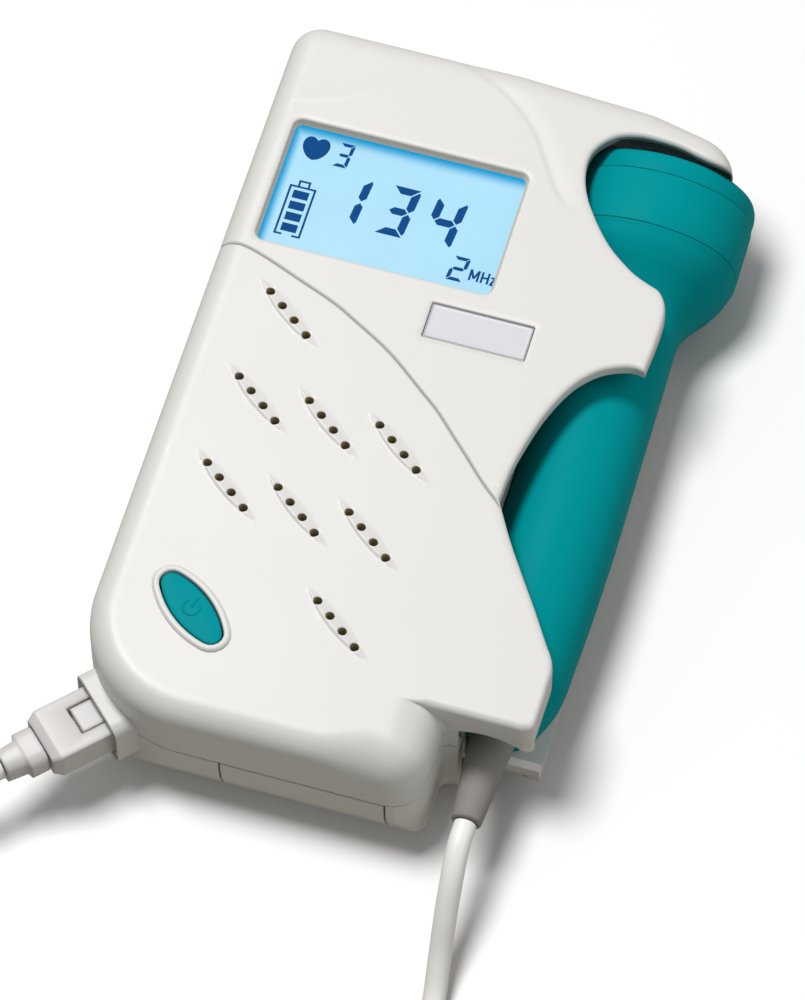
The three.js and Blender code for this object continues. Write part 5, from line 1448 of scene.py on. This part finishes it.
# Stage
class MONITOR_OT_stage(bpy.types.Operator):
    """Pale floor, soft lamps and the camera"""

    bl_idname = "monitor.stage"
    bl_label = "Stage"

    def execute(self, context):
        settings = context.scene.monitor_stage
        scene = context.scene
        scene.view_settings.view_transform = "Standard"
        scene.view_settings.look = "None"
        data = bpy.data.cameras.new("camera")
        data.sensor_width = 36
        data.lens = settings.lens
        data.clip_start, data.clip_end = 0.05, 20
        camera = bpy.data.objects.new("camera", data)
        az, el = settings.azimuth, settings.elevation
        back = Vector((math.sin(az) * math.cos(el), -math.cos(az) * math.cos(el), math.sin(el)))
        camera.location = at(*TARGET) + back * settings.distance
        camera.rotation_mode = "QUATERNION"
        camera.rotation_quaternion = (-back).to_track_quat("-Z", "Y") @ Quaternion((0, 0, 1), ROLL)
        context.collection.objects.link(camera)
        scene.camera = camera
        bm = bmesh.new()
        bmesh.ops.create_grid(bm, x_segments=1, y_segments=1, size=FLOOR_HALF)
        mesh = bpy.data.meshes.new("floor")
        bm.to_mesh(mesh)
        bm.free()
        mesh.materials.append(floor_material(settings))
        floor = bpy.data.objects.new("floor", mesh)
        context.collection.objects.link(floor)
        for name, place, size, power, link in LAMPS:
            lamp(context, name, place, size, power, floor, link)
        world = bpy.data.worlds.new("studio")
        world.use_nodes = True
        set_inputs(world.node_tree.nodes["Background"], {"Color": (1, 1, 1, 1), "Strength": WORLD_LIGHT})
        scene.world = world
        return {"FINISHED"}


def lamp(context, name, place, size, power, floor, link):
    """A round soft lamp aimed at the middle, which lights the floor only or everything else."""
    data = bpy.data.lights.new(name, "AREA")
    data.shape = "DISK"
    data.size = size
    data.energy = power
    obj = bpy.data.objects.new(name, data)
    obj.location = Vector(place)
    obj.rotation_mode = "QUATERNION"
    obj.rotation_quaternion = (Vector((0, 0, 0)) - obj.location).to_track_quat("-Z", "Y")
    context.collection.objects.link(obj)
    lit = bpy.data.collections.new(name + "_floor")
    lit.objects.link(floor)
    lit.collection_objects[0].light_linking.link_state = link
    obj.light_linking.receiver_collection = lit


def floor_material(settings):
    """A floor whose lit part comes out white to the camera and that takes a shadow."""
    made, tree, surface = new_material("Floor")
    set_inputs(surface, {"Roughness": 1, "Specular IOR Level": 0})
    seen = add_node(tree, "ShaderNodeLightPath")
    mix = add_node(tree, "ShaderNodeMix", {"A": (*settings.floor, 1), "B": (1, 1, 1, 1)}, data_type="RGBA")
    wire(tree, (seen, "Is Camera Ray", mix, "Factor"), (mix, "Result", surface, "Base Color"))
    return made


class MONITOR_PT_panel(bpy.types.Panel):
    bl_label = "Fetal Monitor"
    bl_idname = "MONITOR_PT_panel"
    bl_space_type = "VIEW_3D"
    bl_region_type = "UI"
    bl_category = "Fetal Monitor"

    def draw(self, context):
        for operator in OPERATORS:
            self.layout.operator(operator.bl_idname)
        for name in SETTINGS:
            group = getattr(context.scene, name)
            box = self.layout.box()
            for key in group.bl_rna.properties.keys():
                if key not in ("name", "rna_type"):
                    box.prop(group, key)


OPERATORS = [
    MONITOR_OT_stage, MONITOR_OT_cords, MONITOR_OT_front_shell, MONITOR_OT_rear_shell, MONITOR_OT_display,
    MONITOR_OT_name_plate, MONITOR_OT_power_button, MONITOR_OT_probe, MONITOR_OT_inner_parts,
]
SETTINGS = {
    "monitor_housing": HousingSettings, "monitor_probe": ProbeSettings, "monitor_display": DisplaySettings,
    "monitor_cord": CordSettings, "monitor_stage": StageSettings,
}


def register():
    for cls in [*SETTINGS.values(), *OPERATORS, MONITOR_PT_panel]:
        bpy.utils.register_class(cls)
    for name, cls in SETTINGS.items():
        setattr(bpy.types.Scene, name, PointerProperty(type=cls))


def unregister():
    for name in SETTINGS:
        delattr(bpy.types.Scene, name)
    for cls in reversed([*SETTINGS.values(), *OPERATORS, MONITOR_PT_panel]):
        bpy.utils.unregister_class(cls)


def main():
    register()
    for operator in OPERATORS:
        group, name = operator.bl_idname.split(".")
        getattr(getattr(bpy.ops, group), name)()


if __name__ == "__main__":
    main()
